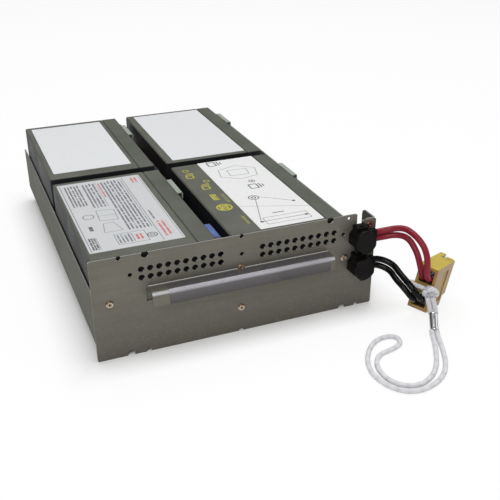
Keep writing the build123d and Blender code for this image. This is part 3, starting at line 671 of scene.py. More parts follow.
@dataclass(frozen=True)
class BraidedCord(Finish):
    """White braided cord with painted shade in the hollows between its yarns, by how high they stand.

    Attributes:
        crown: Colour of the yarns.
        valley_shade: Colour of the painted shade between them.
    """

    crown: Colour
    valley_shade: Colour

    def paint(self, sheet: NodeSheet) -> None:
        """Join up the nodes.

        Args:
            sheet: The material's node tree.
        """
        height = sheet.add("Attribute", attribute_name=WEAVE).outputs["Fac"]
        fuzz = sheet.noise(2600, 3, 0.7)
        level = sheet.maths("ADD", height, sheet.times(sheet.less(fuzz, 0.5), 0.4))
        # painted shade: the hollows between the yarns take the dark colour
        face = sheet.blend(sheet.spread(level, 0.05, 0.7, 0, 1), self.valley_shade, self.crown)
        sheet.surface(Base_Color=face, Roughness=0.8, Sheen_Weight=0.2, Sheen_Roughness=0.5)
        sheet.relief(fuzz, 0.0001, 0.5)


@dataclass(frozen=True)
class BareMetal(Finish):
    """Bright metal with fine drawing marks, painted shade where it looks up, and a set colour above a
    height.

    Attributes:
        tone: Colour.
        gloss: Roughness.
        marks: Stretch of the marks along X, Y and Z, in cycles per metre.
        upper_shade: Colour of the painted shade on its faces that look up, or None where there is none.
        high_tone: Colour over the whole piece above a height, or None.
        line: That height.
    """

    tone: Colour
    gloss: float = 0.2
    marks: Point = (300, 300, 2400)
    upper_shade: Colour | None = None
    high_tone: Colour | None = None
    line: float = 0.07

    def paint(self, sheet: NodeSheet) -> None:
        """Join up the nodes.

        Args:
            sheet: The material's node tree.
        """
        drawn = sheet.streaks(self.marks)
        darker = tint(self.tone, 0.82)
        face = sheet.blend(sheet.spread(drawn, 0.4, 0.7, 0, 1), self.tone, darker)
        # painted shade: faces that look up turn darker
        if self.upper_shade:
            face = sheet.blend(sheet.spread(sheet.facing(), 0.0, 0.45, 0, 1), face, self.upper_shade)
        if self.high_tone:
            above = sheet.spread(sheet.position()[2], self.line - 0.001, self.line, 0, 0.9)
            face = sheet.blend(above, face, self.high_tone)
        sheet.surface(Base_Color=face, Metallic=1.0)
        sheet.surface(Roughness=sheet.spread(drawn, 0.3, 0.7, self.gloss, self.gloss + 0.15))
        sheet.relief(drawn, 0.00003, 0.3)


@dataclass(frozen=True)
class Foam(Finish):
    """Closed-cell foam with open pores on its cut faces.

    Attributes:
        tone: Colour.
    """

    tone: Colour

    def paint(self, sheet: NodeSheet) -> None:
        """Join up the nodes.

        Args:
            sheet: The material's node tree.
        """
        pores = sheet.add("TexVoronoi")
        sheet.plug(sheet.coordinates(), pores.inputs["Vector"])
        sheet.plug(900.0, pores.inputs["Scale"])
        face = sheet.blend(pores.outputs["Distance"], tint(self.tone, 1.7), self.tone)
        sheet.surface(Base_Color=face, Roughness=0.95)
        sheet.relief(pores.outputs["Distance"], 0.0003, 0.8)


@dataclass(frozen=True)
class GlossyFilm(Finish):
    """Clear-coated film wrapped over the handle: a painted highlight on the fold, greyer on the face below
    it.

    Attributes:
        fold: Colour of the painted highlight on the fold.
        face: Colour of the upright face near the fold.
        foot: Colour at its lower edge.
        low: Height of its lower edge.
        high: Height of the fold.
    """

    fold: Colour
    face: Colour
    foot: Colour
    low: float
    high: float

    def paint(self, sheet: NodeSheet) -> None:
        """Join up the nodes.

        Args:
            sheet: The material's node tree.
        """
        height = sheet.position()[2]
        waves = sheet.streaks((30, 90, 160))
        face = sheet.blend(sheet.spread(height, self.low, self.high, 0, 1), self.foot, self.face)
        # painted highlight on the curved fold
        up = sheet.facing()
        fold = sheet.times(sheet.spread(up, 0.1, 0.5, 0, 1), sheet.spread(up, 0.75, 0.97, 1, 0))
        face = sheet.blend(fold, face, self.fold)
        face = sheet.blend(sheet.spread(waves, 0.45, 0.75, 0, 0.25), face, self.foot)
        sheet.surface(Base_Color=face, Metallic=0.3, Coat_Weight=0.4, Coat_Roughness=0.08)
        sheet.surface(Roughness=sheet.spread(waves, 0.3, 0.7, 0.24, 0.36))
        sheet.relief(waves, 0.0003, 0.3)


@dataclass(frozen=True)
class ConnectorPose:
    """Where the connector lies: distances along, across and up it, in millimetres.

    Attributes:
        corner: Lower left corner of the face that the leads enter.
        yaw: Bearing of its length in degrees.
        pitch: How far its nose points down.
        roll: How far it leans.
    """

    corner: Point = (131.2, -190.1, 9.8)
    yaw: float = 33.8
    pitch: float = 13.0
    roll: float = 6.0

    def axes(self) -> tuple[Vector, Vector, Vector]:
        """Directions along, across and up the connector.

        Returns:
            Three unit vectors.
        """
        yaw, pitch = radians(self.yaw), radians(self.pitch)
        along = Vector((cos(yaw) * cos(pitch), sin(yaw) * cos(pitch), -sin(pitch)))
        across = Quaternion(along, radians(self.roll)) @ Vector((sin(yaw), -cos(yaw), 0))
        return along, across, across.cross(along)

    def at(self, place: Point) -> Vector:
        """A point of the connector in the row frame, in millimetres."""
        return Vector(self.corner) + sum((axis * part for axis, part in zip(self.axes(), place)), Vector())


@dataclass(frozen=True)
class TwoTonePlastic(Finish):
    """Translucent moulding, yellow on top and tan on its other faces, partly by hue and partly by painted
    light, with painted shade deep in its chambers.

    Attributes:
        top: Colour of the faces that look up: a yellow hue with painted light.
        flank: Colour of the upright faces: a tan hue with painted shade.
        stain: Colour of the handling marks.
        inside: Colour of the painted shade deep in its chambers.
        pose: Where it lies.
        lit_top: Height along its own upright from which the top's colour starts, and is full.
        chambers: Bottom and top of each chamber, along that upright.
        sides: Left and right wall of the chambers.
        mouth: Depth at which the inside's colour starts, and is full.
    """

    top: Colour
    flank: Colour
    stain: Colour
    inside: Colour
    pose: ConnectorPose
    lit_top: tuple[float, float] = (0.031, 0.034)
    chambers: tuple[tuple[float, float], ...] = ((0.0030, 0.0151), (0.0233, 0.0354))
    sides: tuple[float, float] = (0.0020, 0.0143)
    mouth: tuple[float, float] = (0.0006, 0.003)

    def paint(self, sheet: NodeSheet) -> None:
        """Join up the nodes.

        Args:
            sheet: The material's node tree.
        """
        cloud = sheet.noise(75, 4, 0.6)
        pits = sheet.noise(1500, 2)
        along, across, rise = (self.measure(sheet, axis) for axis in self.pose.axes())
        # the top colour, partly painted light, goes on faces that look up high on the piece; the flank
        # colour, partly painted shade, elsewhere
        high = sheet.spread(rise, *self.lit_top, 0, 1)
        lit_top = sheet.times(high, sheet.spread(sheet.facing(), 0.35, 0.85, 0, 1))
        face = sheet.blend(lit_top, self.flank, self.top)
        face = sheet.blend(sheet.spread(cloud, 0.50, 0.62, 0, 0.35), face, self.top)
        face = sheet.blend(sheet.spread(cloud, 0.44, 0.34, 0, 0.4), face, self.stain)
        # painted shade deep in the chambers
        chamber_shade = sheet.most(*(sheet.between(rise, *chamber) for chamber in self.chambers))
        chamber_shade = sheet.times(chamber_shade, sheet.between(across, *self.sides))
        chamber_shade = sheet.times(chamber_shade, sheet.spread(along, *self.mouth, 0, 1))
        face = sheet.blend(chamber_shade, face, self.inside)
        sheet.surface(Base_Color=face, Specular_IOR_Level=0.3)
        sheet.surface(Roughness=sheet.spread(cloud, 0.35, 0.7, 0.30, 0.42))
        sheet.surface(Subsurface_Weight=0.12, Subsurface_Scale=1.0)
        sheet.surface(Subsurface_Radius=(0.004, 0.003, 0.001))
        sheet.relief(pits, 0.00003, 0.4)

    def measure(self, sheet: NodeSheet, axis: Vector) -> Socket:
        """Distance along one of its axes from its corner.

        Args:
            sheet: The material's node tree.
            axis: Direction of the axis.

        Returns:
            The distance in metres.
        """
        product = sheet.add("VectorMath", operation="DOT_PRODUCT")
        sheet.plug(sheet.coordinates(), product.inputs[0])
        sheet.plug(tuple(axis), product.inputs[1])
        start = self.pose.at((0, 0, 0)).dot(axis) * MM
        return sheet.less(product.outputs["Value"], start)


@dataclass(frozen=True)
class LabelPaper(Finish):
    """Label film with a faint mottling, and its print.

    Attributes:
        tone: Colour of the film.
        corner: Its front left corner.
        marks: What is printed on it.
    """

    tone: Colour
    corner: Point = (0, 0, 0)
    marks: tuple[Mark, ...] = ()

    def paint(self, sheet: NodeSheet) -> None:
        """Join up the nodes.

        Args:
            sheet: The material's node tree.
        """
        fibre = sheet.noise(700, 4, 0.7)
        darker = tint(self.tone, 0.93)
        face = sheet.blend(sheet.spread(fibre, 0.35, 0.65, 0, 1), darker, self.tone)
        if self.marks:
            face = sheet.stamp(face, self.corner, self.marks)
        sheet.surface(Base_Color=face, Roughness=0.55, Specular_IOR_Level=0.35)
        sheet.relief(fibre, 0.00003, 0.4)


@dataclass
class Workshop:
    """Keeps each finish once, and puts pieces and materials into the scene.

    Attributes:
        made: Materials by the name of their finish.
    """

    made: dict[str, bpy.types.Material] = field(default_factory=dict)

    def finish(self, kind: Finish) -> bpy.types.Material:
        """Make a finish the first time it is asked for.

        Args:
            kind: The finish.

        Returns:
            Its material.
        """
        if kind.name not in self.made:
            self.made[kind.name] = kind.build()
        return self.made[kind.name]

    def dress(self, node: str, kind: Finish) -> None:
        """Give a node of the model a finish.

        Args:
            node: The node's name.
            kind: The finish.
        """
        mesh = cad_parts[node].data
        mesh.materials.clear()
        mesh.materials.append(self.finish(kind))

    def place(self, name: str, mesh: bmesh.types.BMesh, kind: Finish, slot: str) -> bpy.types.Object:
        """Turn a finished bmesh into a piece that rides with the cartridge.

        Args:
            name: The piece's name.
            mesh: Its shape in the row frame; it is freed.
            kind: Its finish.
            slot: The record's material slot.

        Returns:
            The new object.
        """
        data = bpy.data.meshes.new(name)
        mesh.to_mesh(data)
        mesh.free()
        for face in data.polygons:
            face.use_smooth = True
        data.materials.append(self.finish(kind))
        return self.adopt(bpy.data.objects.new(name, data), slot)

    def adopt(self, piece: bpy.types.Object, slot: str) -> bpy.types.Object:
        """Link a piece and let it ride on the body.

        Args:
            piece: The new object.
            slot: The record's material slot. Not used.

        Returns:
            The same object.
        """
        bpy.context.scene.collection.objects.link(piece)
        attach(piece, "root")
        log.info("made %s", piece.name)
        return piece


@dataclass
class Route:
    """A smooth line through space, from control points in millimetres.

    Attributes:
        name: Name of the piece that follows it.
        points: Control points.
        closed: Whether it joins up with itself.
    """

    name: str
    points: Path
    closed: bool = False

    def curve(self, radius: float = 0.0, rings: int = 12, sides: int = 6) -> bpy.types.Curve:
        """Make the curve.

        Args:
            radius: Radius of the tube round it in metres, or 0 for the bare line.
            rings: Divisions of each span.
            sides: Divisions of half of the tube's section.

        Returns:
            The curve data.
        """
        line = bpy.data.curves.new(self.name, "CURVE")
        line.dimensions = "3D"
        line.resolution_u = line.render_resolution_u = rings
        spline = line.splines.new("NURBS")
        spline.points.add(len(self.points) - 1)
        for knot, place in zip(spline.points, self.points):
            knot.co = (*(part * MM for part in place), 1.0)
        spline.order_u = 3
        spline.use_cyclic_u = self.closed
        spline.use_endpoint_u = not self.closed
        line.bevel_depth = radius
        line.bevel_resolution = sides
        line.use_fill_caps = not self.closed
        return line

    def mesh(self, radius: float = 0.0, rings: int = 12, sides: int = 6) -> bpy.types.Mesh:
        """The curve as a mesh.

        Args:
            radius: As for the curve.
            rings: As for the curve.
            sides: As for the curve.

        Returns:
            The mesh.
        """
        holder = bpy.data.objects.new(self.name + "_line", self.curve(radius, rings, sides))
        bpy.context.scene.collection.objects.link(holder)
        bpy.context.view_layer.update()
        graph = bpy.context.evaluated_depsgraph_get()
        mesh = bpy.data.meshes.new_from_object(holder.evaluated_get(graph))
        bpy.data.objects.remove(holder)
        return mesh

    def centreline(self) -> list[Vector]:
        """Points along the line, in order."""
        return [vertex.co.copy() for vertex in self.mesh().vertices]

    def length(self) -> float:
        """Length of the line in millimetres."""
        line = self.centreline()
        return sum((after - before).length for before, after in zip(line, line[1:])) / MM


@dataclass(frozen=True)
class Braid:
    """The plait of a round braided cord, raised on the mesh of its tube.

    Attributes:
        diameter: Cord diameter in millimetres.
        yarns: Yarns that wind one way round; as many wind the other way.
        turn: Length in which a yarn goes round once.
        relief: How far a yarn stands above the hollow beside it.
        step: Length of one ring of the mesh.
        sides: Divisions of half of the section.
    """

    diameter: float = 3.9
    yarns: int = 6
    turn: float = 11.0
    relief: float = 0.62
    step: float = 0.45
    sides: int = 10

    def tube(self, route: Route) -> bpy.types.Mesh:
        """Make the braided tube along a route.

        Args:
            route: The route that it follows.

        Returns:
            Its mesh, with the height of the yarns as an attribute.
        """
        length = route.length()
        spans = len(route.points) - (0 if route.closed else 2)
        radius = (self.diameter - self.relief / 2) / 2
        mesh = route.mesh(radius * MM, max(6, round(length / spans / self.step)), self.sides)
        turns = max(1, round(length / self.turn))
        heights = [0.5] * len(mesh.vertices)
        for corner, place in zip(mesh.loops, mesh.uv_layers[0].data):
            along, around = place.uv
            heights[corner.vertex_index] = self.height(along * turns, around)
        normals = [vertex.normal.copy() for vertex in mesh.vertices]
        for vertex, normal, height in zip(mesh.vertices, normals, heights):
            vertex.co += normal * ((height - 0.5) * self.relief * MM)
        mark = mesh.attributes.new(WEAVE, "FLOAT", "POINT")
        mark.data.foreach_set("value", heights)
        for face in mesh.polygons:
            face.use_smooth = True
        mesh.materials.clear()
        return mesh

    def height(self, wound: float, around: float) -> float:
        """Height of the plait at one place, 0 to 1.

        Args:
            wound: Turns that a yarn has made up to here.
            around: Share of the way round the cord.

        Returns:
            The height.
        """
        one = self.yarns * (around + wound)
        other = self.yarns * (around - wound)
        first_over = (int(one // 1) + int(other // 1)) % 2 == 0
        across, along = (one, other) if first_over else (other, one)
        round_yarn = sqrt(max(0.0, 1 - (2 * (across % 1) - 1) ** 2))
        return round_yarn * (0.45 + 0.55 * sin(pi * (along % 1)))


@dataclass
class Studio:
    """Camera, floor and soft lamps.

    Attributes:
        position: Where the camera stands, in millimetres.
        azimuth: Its bearing in degrees, 0 looking along +Y.
        elevation: Its height above the horizon in degrees.
        roll: How far it leans, in degrees.
        lens: Focal length in millimetres on a 36 mm sensor.
        ambient: Light from all round.
        whiteness: Share of the floor's own white that straight looks see.
        fade: Distance from the tray over which that share rises, in metres.
        reach: Half of the floor's side, in metres.
        clip: Nearest and furthest distance that the camera sees, in metres.
        aim: Where the lamps point, in metres.
    """

    position: Point = (-191.86, -640.27, 338.03)
    azimuth: float = -22.38
    elevation: float = 27.22
    roll: float = -0.04
    lens: float = 55.886
    ambient: float = 0.26
    whiteness: float = 0.86
    fade: float = 0.03
    reach: float = 5.0
    clip: tuple[float, float] = (0.02, 20.0)
    aim: Point = (0.0, 0.0, 0.04)

    def build(self) -> None:
        """Set up the camera, the floor, the world and the lamps."""
        self.camera()
        self.floor()
        self.world()
        self.lamp("key_lamp", (-0.9, -1.5, 1.5), 1.2, 24)
        self.lamp("top_lamp", (0.2, 0.5, 1.9), 1.6, 26)
        self.lamp("side_lamp", (1.6, -0.9, 0.9), 1.0, 5)
        bpy.context.scene.view_settings.view_transform = "Standard"
        log.info("made the studio")

    def camera(self) -> None:
        """Place the camera."""
        turn, tilt = radians(self.azimuth), radians(self.elevation)
        back = Vector((sin(turn) * cos(tilt), -cos(turn) * cos(tilt), sin(tilt)))
        data = bpy.data.cameras.new("camera")
        data.lens = self.lens
        data.sensor_width = 36
        data.clip_start, data.clip_end = self.clip
        camera = bpy.data.objects.new("camera", data)
        camera.rotation_mode = "QUATERNION"
        camera.location = Vector(self.position) * MM
        level = (-back).to_track_quat("-Z", "Y")
        camera.rotation_quaternion = Quaternion(back, radians(self.roll)) @ level
        bpy.context.scene.collection.objects.link(camera)
        bpy.context.scene.camera = camera

    def floor(self) -> None:
        """Lay a plain pale floor. Its glow fades near the body, where the body's own shadow lies."""
        mesh = bmesh.new()
        bmesh.ops.create_grid(mesh, x_segments=1, y_segments=1, size=self.reach)
        data = bpy.data.meshes.new("floor")
        mesh.to_mesh(data)
        mesh.free()
        sheet = NodeSheet("floor")
        sheet.surface(Base_Color=(0.9, 0.9, 0.9), Roughness=0.9, Specular_IOR_Level=0.1)
        glow = sheet.add("Emission")
        sheet.plug((1.0, 1.0, 1.0), glow.inputs["Color"])
        low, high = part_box("tray")
        x, y, _ = sheet.position()
        away = [
            sheet.less(low.x, x), sheet.less(x, high.x),
            sheet.less(low.y, y), sheet.less(y, high.y),
        ]
        share = sheet.spread(sheet.most(*away), 0.0, self.fade, 0.0, self.whiteness)
        mix = sheet.add("MixShader")
        sheet.plug(sheet.times(self.seen(sheet), share), mix.inputs[0])
        sheet.plug(sheet.shader.outputs[0], mix.inputs[1])
        sheet.plug(glow.outputs[0], mix.inputs[2])
        sheet.plug(mix.outputs[0], sheet.output.inputs["Surface"])
        data.materials.append(sheet.material)
        floor = bpy.data.objects.new("floor", data)
        bpy.context.scene.collection.objects.link(floor)

    def seen(self, sheet: NodeSheet) -> Socket:
        """One where the camera looks straight, or by way of gloss or glass."""
        path = sheet.add("LightPath").outputs
        return sheet.most(path["Is Camera Ray"], path["Is Glossy Ray"], path["Is Transmission Ray"])

    def world(self) -> None:
        """Make a plain pale world."""
        world = bpy.data.worlds.new("studio")
        bpy.context.scene.world = world
        world.use_nodes = True
        nodes, links = world.node_tree.nodes, world.node_tree.links
        background = nodes["Background"]
        background.inputs["Color"].default_value = (1, 1, 1, 1)
        path = nodes.new("ShaderNodeLightPath").outputs
        strength = nodes.new("ShaderNodeMapRange")
        strength.inputs["To Min"].default_value = self.ambient
        strength.inputs["To Max"].default_value = 1.0
        links.new(path["Is Camera Ray"], strength.inputs["Value"])
        links.new(strength.outputs["Result"], background.inputs["Strength"])

    def lamp(self, name: str, place: Point, size: float, power: float) -> None:
        """Hang a square soft lamp that faces the object.

        Args:
            name: The lamp's name.
            place: Where it hangs, in metres.
            size: Its side in metres.
            power: Its power in watts.
        """
        data = bpy.data.lights.new(name, "AREA")
        data.size = size
        data.energy = power
        lamp = bpy.data.objects.new(name, data)
        lamp.location = place
        lamp.rotation_euler = (Vector(self.aim) - Vector(place)).to_track_quat("-Z", "Y").to_euler()
        bpy.context.scene.collection.objects.link(lamp)


RED_LEAD = Insulation("red_insulation", shade(132, 26, 44), 0.36, 0.25)
BLACK_LEAD = Insulation("black_insulation", shade(11, 10, 9), 0.14, 0.15)
# the cord's second colour is painted shade between its yarns
CORD = BraidedCord("cord", shade(222, 221, 224), shade(108, 107, 118))


@dataclass
class Leads:
    """The four leads from the bushings to the connector, and the one that shows in the tray.

    Attributes:
        shop: Where finishes and pieces are made.
        pose: Where the connector lies.
        diameter: Outside diameter in millimetres.
        pitch: Distance between two leads side by side.
        exit_x: Where the leads leave the bushings, left to right.
        exit_y: Where they leave them, front to back.
        low_z: Height of the middle of the black pair there.
        high_z: Height of the middle of the red pair there.
        seat: How far the leads reach into the connector.
        rings: Divisions of each span of a lead.
        sides: Divisions of half of its section.
        free: Length in millimetres of each free lead, and the pieces at its end.
    """

    shop: Workshop
    pose: ConnectorPose
    diameter: float = 5.0
    pitch: float = 5.6
    exit_x: float = 110.9
    exit_y: float = -165.5
    low_z: float = 41.9
    high_z: float = 66.0
    seat: float = 8.0
    rings: int = 24
    sides: int = 6
    free: dict[str, tuple[float, tuple[str, ...]]] = field(default_factory=lambda: {
        "lead_red_outer": (90.0, ("connector_housing", "contact_red", "contact_spring_red")),
        "lead_red_inner": (73.0, ("contact_red",)),
        "lead_black_outer": (70.6, ("contact_black", "contact_spring_black")),
        "lead_black_inner": (63.8, ("contact_black",)),
    })

    def routes(self) -> dict[str, Path]:
        """Control points of each lead, from bushing to connector.

        Returns:
            The points in millimetres by the name of the node.
        """
        half = self.pitch / 2
        x, y, at = self.exit_x, self.exit_y, self.pose.at
        return {
            "lead_red_outer": [
                (x, y, self.high_z + half), (x + 7, y, self.high_z + half), (130.5, -174.8, 73.8),
                (132.8, -188.1, 72.8), (136.1, -198.0, 66.1), (137.4, -202.4, 55.8), (137.7, -202.2, 44.7),
                at((-2.2, 10.95, 27.2)), at((self.seat, 10.95, 27.2)),
            ],
            "lead_red_inner": [
                (x, y, self.high_z - half), (x + 6, y, self.high_z - half), (127.5, -170.6, 66.0),
                (133.5, -179.1, 66.1), (135.8, -188.6, 57.9), (136.3, -193.4, 50.5), (137.6, -195.4, 42.4),
                at((0.0, 5.35, 26.6)), at((self.seat, 5.35, 26.6)),
            ],
            "lead_black_outer": [
                (x, y, self.low_z + half), (x + 5, y, self.low_z + half), (125.1, -173.4, 41.5),
                (126.1, -183.9, 37.0), (126.8, -194.1, 34.4), (130.5, -201.7, 27.9),
                at((-3.5, 10.95, 9.6)), at((self.seat, 10.95, 9.6)),
            ],
            "lead_black_inner": [
                (x, y, self.low_z - half), (x + 4, y, self.low_z - half), (122.9, -173.2, 36.2),
                (122.2, -183.7, 33.2), (124.2, -193.5, 29.6), (128.7, -199.1, 22.3),
                at((-1.5, 5.35, 7.4)), at((self.seat, 5.35, 7.4)),
            ],
        }

    def build(self) -> None:
        for name, points in self.routes().items():
            length, carried = self.free[name]
            piece = self.tube(name, points, "red" if "red" in name else "black")
            [part * MM for part in points[0]]
            [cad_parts[node] for node in carried]
        held = [
            (-16.2, 129.1, 71.4), (-16.2, 115.1, 71.4), (-16.2, 73.1, 57.5), (-16.2, 14.0, 57.5),
            (-4.0, 1.4, 57.5), (98.0, 1.4, 57.5), (110.2, -12.0, 57.0), (110.2, -104.0, 54.9),
            (109.6, -124.0, 56.5), (101.4, -134.0, 60.2), (100.7, -144.0, 60.7), (100.7, -153.7, 60.7),
        ]
        self.tube("lead_red_left", held, "red")

    def tube(self, name: str, points: Path, colour: str) -> bpy.types.Object:
        """Make one lead that stands for its node.

        Args:
            name: The node's name.
            points: Control points of its route.
            colour: Colour of its insulation, as the slots name it.

        Returns:
            The new curve object.
        """
        curve = Route(name + "_lead", points).curve(self.diameter / 2 * MM, self.rings, self.sides)
        curve.materials.append(self.shop.finish(RED_LEAD if colour == "red" else BLACK_LEAD))
        piece = self.shop.adopt(bpy.data.objects.new(name + "_cord", curve), "lead_" + colour)
        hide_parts(name)
        return piece


@dataclass
class Lanyard:
    """The braided lanyard: wrap through the connector, knot, two strands, ferrule and loop.

    Attributes:
        shop: Where finishes and pieces are made.
        pose: Where the connector lies.
        braid: Its plait.
        top: Middle of the ferrule's upper end.
        bottom: Middle of its lower end.
        knot: Middle of the knot, along, across and up the connector.
        gap: Half of the gap between the strands in the ferrule.
        lying: Height of the cord's middle where it lies.
        ground: Where the loop lies, along X and Y.
        start: Middle of the two strands' upper ends.
        lead_in: How far the strands run straight before the ferrule.
        lead_out: How far the loop runs straight after it.
        wrap: Control points of the turn round the connector, along, across and up it.
        profile: Radius of the ferrule and share of its length, from its lower end.
        facets: Sides of the ferrule's section.
        turn_shapes: Name, shift to the right and up, half width, slope and half depth of each turn.
        turn_points: Control points of a turn.
        skew: How far a turn is tilted front to back.
    """

    shop: Workshop
    pose: ConnectorPose
    braid: Braid = Braid()
    top: Point = (141.7, -211.2, 12.0)
    bottom: Point = (136.2, -222.4, 4.0)
    knot: Point = (-4.5, 16.0, 20.0)
    gap: float = 0.12
    lying: float = 2.0
    ground: Path = (
        (133.9, -232.8), (128.6, -245.4), (121.6, -259.0), (112.2, -270.8), (99.8, -278.2),
        (86.0, -281.2), (73.8, -277.0), (66.4, -266.4), (63.6, -252.6), (67.0, -238.4), (75.2, -225.2),
        (86.6, -215.2), (98.8, -212.2), (106.6, -216.8), (103.8, -226.0), (93.2, -229.8),
        (81.8, -231.4), (73.6, -239.6), (69.8, -251.6), (71.8, -264.8), (79.6, -273.4), (91.4, -275.0),
        (103.4, -269.2), (113.6, -258.8), (121.8, -246.2), (128.8, -233.6),
    )
    start: Point = (139.9, -206.6, 25.4)
    lead_in: float = 5.0
    lead_out: float = 2.6
    wrap: Path = (
        (-3.6, 13.2, 20.4), (-4.4, 3.8, 20.9), (-3.4, -3.8, 19.2), (6.0, -4.0, 19.2),
        (6.0, 20.6, 19.2), (-2.2, 20.0, 20.0),
    )
    profile: Path = (
        (3.10, 0.00), (3.36, 0.01), (3.48, 0.04), (3.50, 0.10), (3.46, 0.20), (3.45, 0.50),
        (3.46, 0.80), (3.50, 0.90), (3.48, 0.96), (3.36, 0.99), (3.10, 1.00),
    )
    facets: int = 40
    turn_shapes: tuple[tuple, ...] = (
        ("front", -0.6, 0.0, 4.5, 1.0, 3.1), ("back", 1.6, 0.6, 3.6, -2.6, 2.7),
    )
    turn_points: int = 8
    skew: float = 0.5

    def build(self) -> None:
        """Make every piece of the lanyard."""
        top, bottom = Vector(self.top), Vector(self.bottom)
        axis = (top - bottom).normalized()
        beside = axis.cross(Vector((0, 0, 1))).normalized() * (self.braid.diameter / 2 + self.gap)
        ferrule = self.ferrule(top, bottom)
        loop = [
            bottom + beside, bottom - axis * self.lead_out + beside,
            *((x, y, self.lying) for x, y in self.ground),
            bottom - axis * self.lead_out - beside, bottom - beside,
        ]
        self.declare("lanyard_loop", loop)
        turns = self.turns(beside.normalized(), axis)
        wrap = [self.pose.at(place) for place in self.wrap]
        self.declare("lanyard_wrap", wrap)
        for name, side in (("right", 1), ("left", -1)):
            strand = [
                Vector(self.start) + beside * side, top + axis * self.lead_in + beside * side,
                top + beside * side,
            ]
            piece = self.cord("lanyard_strand_" + name, Route("strand_" + name, strand))
            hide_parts("lanyard_strand_" + name)

    def cord(self, name: str, route: Route) -> bpy.types.Object:
        """Make one braided length.

        Args:
            name: The piece's name without its ending.
            route: The route that it follows.

        Returns:
            The piece.
        """
        mesh = self.braid.tube(route)
        mesh.materials.append(self.shop.finish(CORD))
        return self.shop.adopt(bpy.data.objects.new(name + "_braid", mesh), "lanyard_cord")

    def declare(
        self, name: str, points: Path,
    ) -> None:
        """Args:
            name: The node's name.
            points: Control points of its route in millimetres.
        """
        route = Route(name, points)
        piece = self.cord(name, route)
        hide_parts(name)
        [part * MM for part in points[0]]
        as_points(route.centreline())

    def turns(self, right: Vector, axis: Vector) -> list[bpy.types.Object]:
        """Make the two turns of the knot.

        Args:
            right: Direction across the two strands.
            axis: Direction up the strands.

        Returns:
            The two pieces.
        """
        middle = self.pose.at(self.knot)
        deep = right.cross(axis)
        made = []
        for name, aside, above, reach, rise, depth in self.turn_shapes:
            shift = right * aside + axis * above
            ring = []
            for step in range(self.turn_points):
                turn = 2 * pi * step / self.turn_points
                lift = axis * (rise * cos(turn) + self.skew * sin(turn))
                ring.append(middle + shift + right * reach * cos(turn) + deep * depth * sin(turn) + lift)
            piece = self.cord("knot_turn_" + name, Route("knot_turn_" + name, ring, closed=True))
            made.append(piece)
        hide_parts("lanyard_knot")
        return made

    def ferrule(self, top: Vector, bottom: Vector) -> bpy.types.Object:
        """Make the pressed ferrule round the two strands: a tube a little waisted between rolled ends.

        Args:
            top: Middle of its upper end, in millimetres.
            bottom: Middle of its lower end.

        Returns:
            The piece.
        """
        axis = top - bottom
        side = axis.orthogonal().normalized()
        mesh = bmesh.new()
        rail = [
            mesh.verts.new((bottom + axis * share + side * radius) * MM) for radius, share in self.profile
        ]
        edges = [mesh.edges.new(pair) for pair in zip(rail, rail[1:])]
        bmesh.ops.spin(mesh, geom=rail + edges, cent=bottom * MM, axis=axis.normalized(), angle=2 * pi,
                       steps=self.facets, use_merge=True)
        bmesh.ops.holes_fill(mesh, edges=mesh.edges, sides=0)
        bmesh.ops.recalc_face_normals(mesh, faces=mesh.faces)
        # the spin leaves the faces in an order that changes from run to run
        mesh.verts.index_update()
        corners = {face: [vert.index for vert in face.verts] for face in mesh.faces}
        mesh.faces.sort(key=lambda face: min(corners[face]) * len(mesh.verts) + max(corners[face]))
        piece = self.shop.place("ferrule_tube", mesh, FERRULE, "ferrule_metal")
        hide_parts("lanyard_ferrule")
        return piece


# third colour of each steel: the painted highlight on its edges that look up
STEEL = SheetSteel("plate_steel", shade(111, 108, 98), shade(92, 89, 80), shade(158, 158, 156), rim=0.0835)
TRAY_STEEL = SheetSteel(
    "tray_steel", shade(102, 103, 94), shade(96, 97, 88), shade(150, 152, 148),
    metal=0.1, sheen=0.1, gloss=0.62, low=0.01, high=0.05, rim=0.055,
)
DIVIDER_STEEL = SheetSteel("divider_steel", shade(84, 84, 80), shade(70, 70, 66), shade(120, 120, 116))
# the rivets' second colour is painted shade on their faces that look up
RIVET = BareMetal(
    "rivet_metal", shade(204, 192, 168), 0.34, upper_shade=shade(104, 84, 72), high_tone=shade(104, 66, 58)
)
SEAM = 0.8         # width of the dark line where a lid meets its case, in millimetres
SEAMS = tuple(Patch(Ink.BLACK, 0.75, right - SEAM, -156, right, 160) for right in (-33.7, 72.0))
# the side colours of the case and the lid are painted shade on their upright faces
CASE = MouldedPlastic("case_plastic", shade(88, 90, 82), 0.55, side=shade(27, 28, 30), marks=SEAMS)
LID = MouldedPlastic("lid_plastic", shade(84, 87, 79), 0.55, side=shade(34, 35, 38))
COVER = MouldedPlastic("cover_plastic", shade(150, 158, 148), 0.5)
BLUE_SLEEVE = Sleeve("blue_sleeve", shade(84, 108, 170), shade(16, 18, 30))
DARK_SLEEVE = MouldedPlastic("dark_sleeve", shade(30, 30, 36), 0.5)
BUSHING = MouldedPlastic("bushing_plastic", shade(12, 10, 9), 0.26, 0.00002, 0.1, shine=0.1)
FOAM = Foam("foam", shade(46, 46, 48))
# near-black sheet behind the vent holes: it stands in for the shade in the gap behind the plate
VENT_SHADE_SHEET = MouldedPlastic("vent_shade_sheet", shade(12, 12, 13), 0.8)
TERMINAL = BareMetal("terminal_metal", shade(190, 188, 182), 0.3)
CONTACT = BareMetal("contact_metal", shade(206, 206, 202), 0.15)
FERRULE = BareMetal("ferrule_metal", shade(214, 212, 214), 0.12)


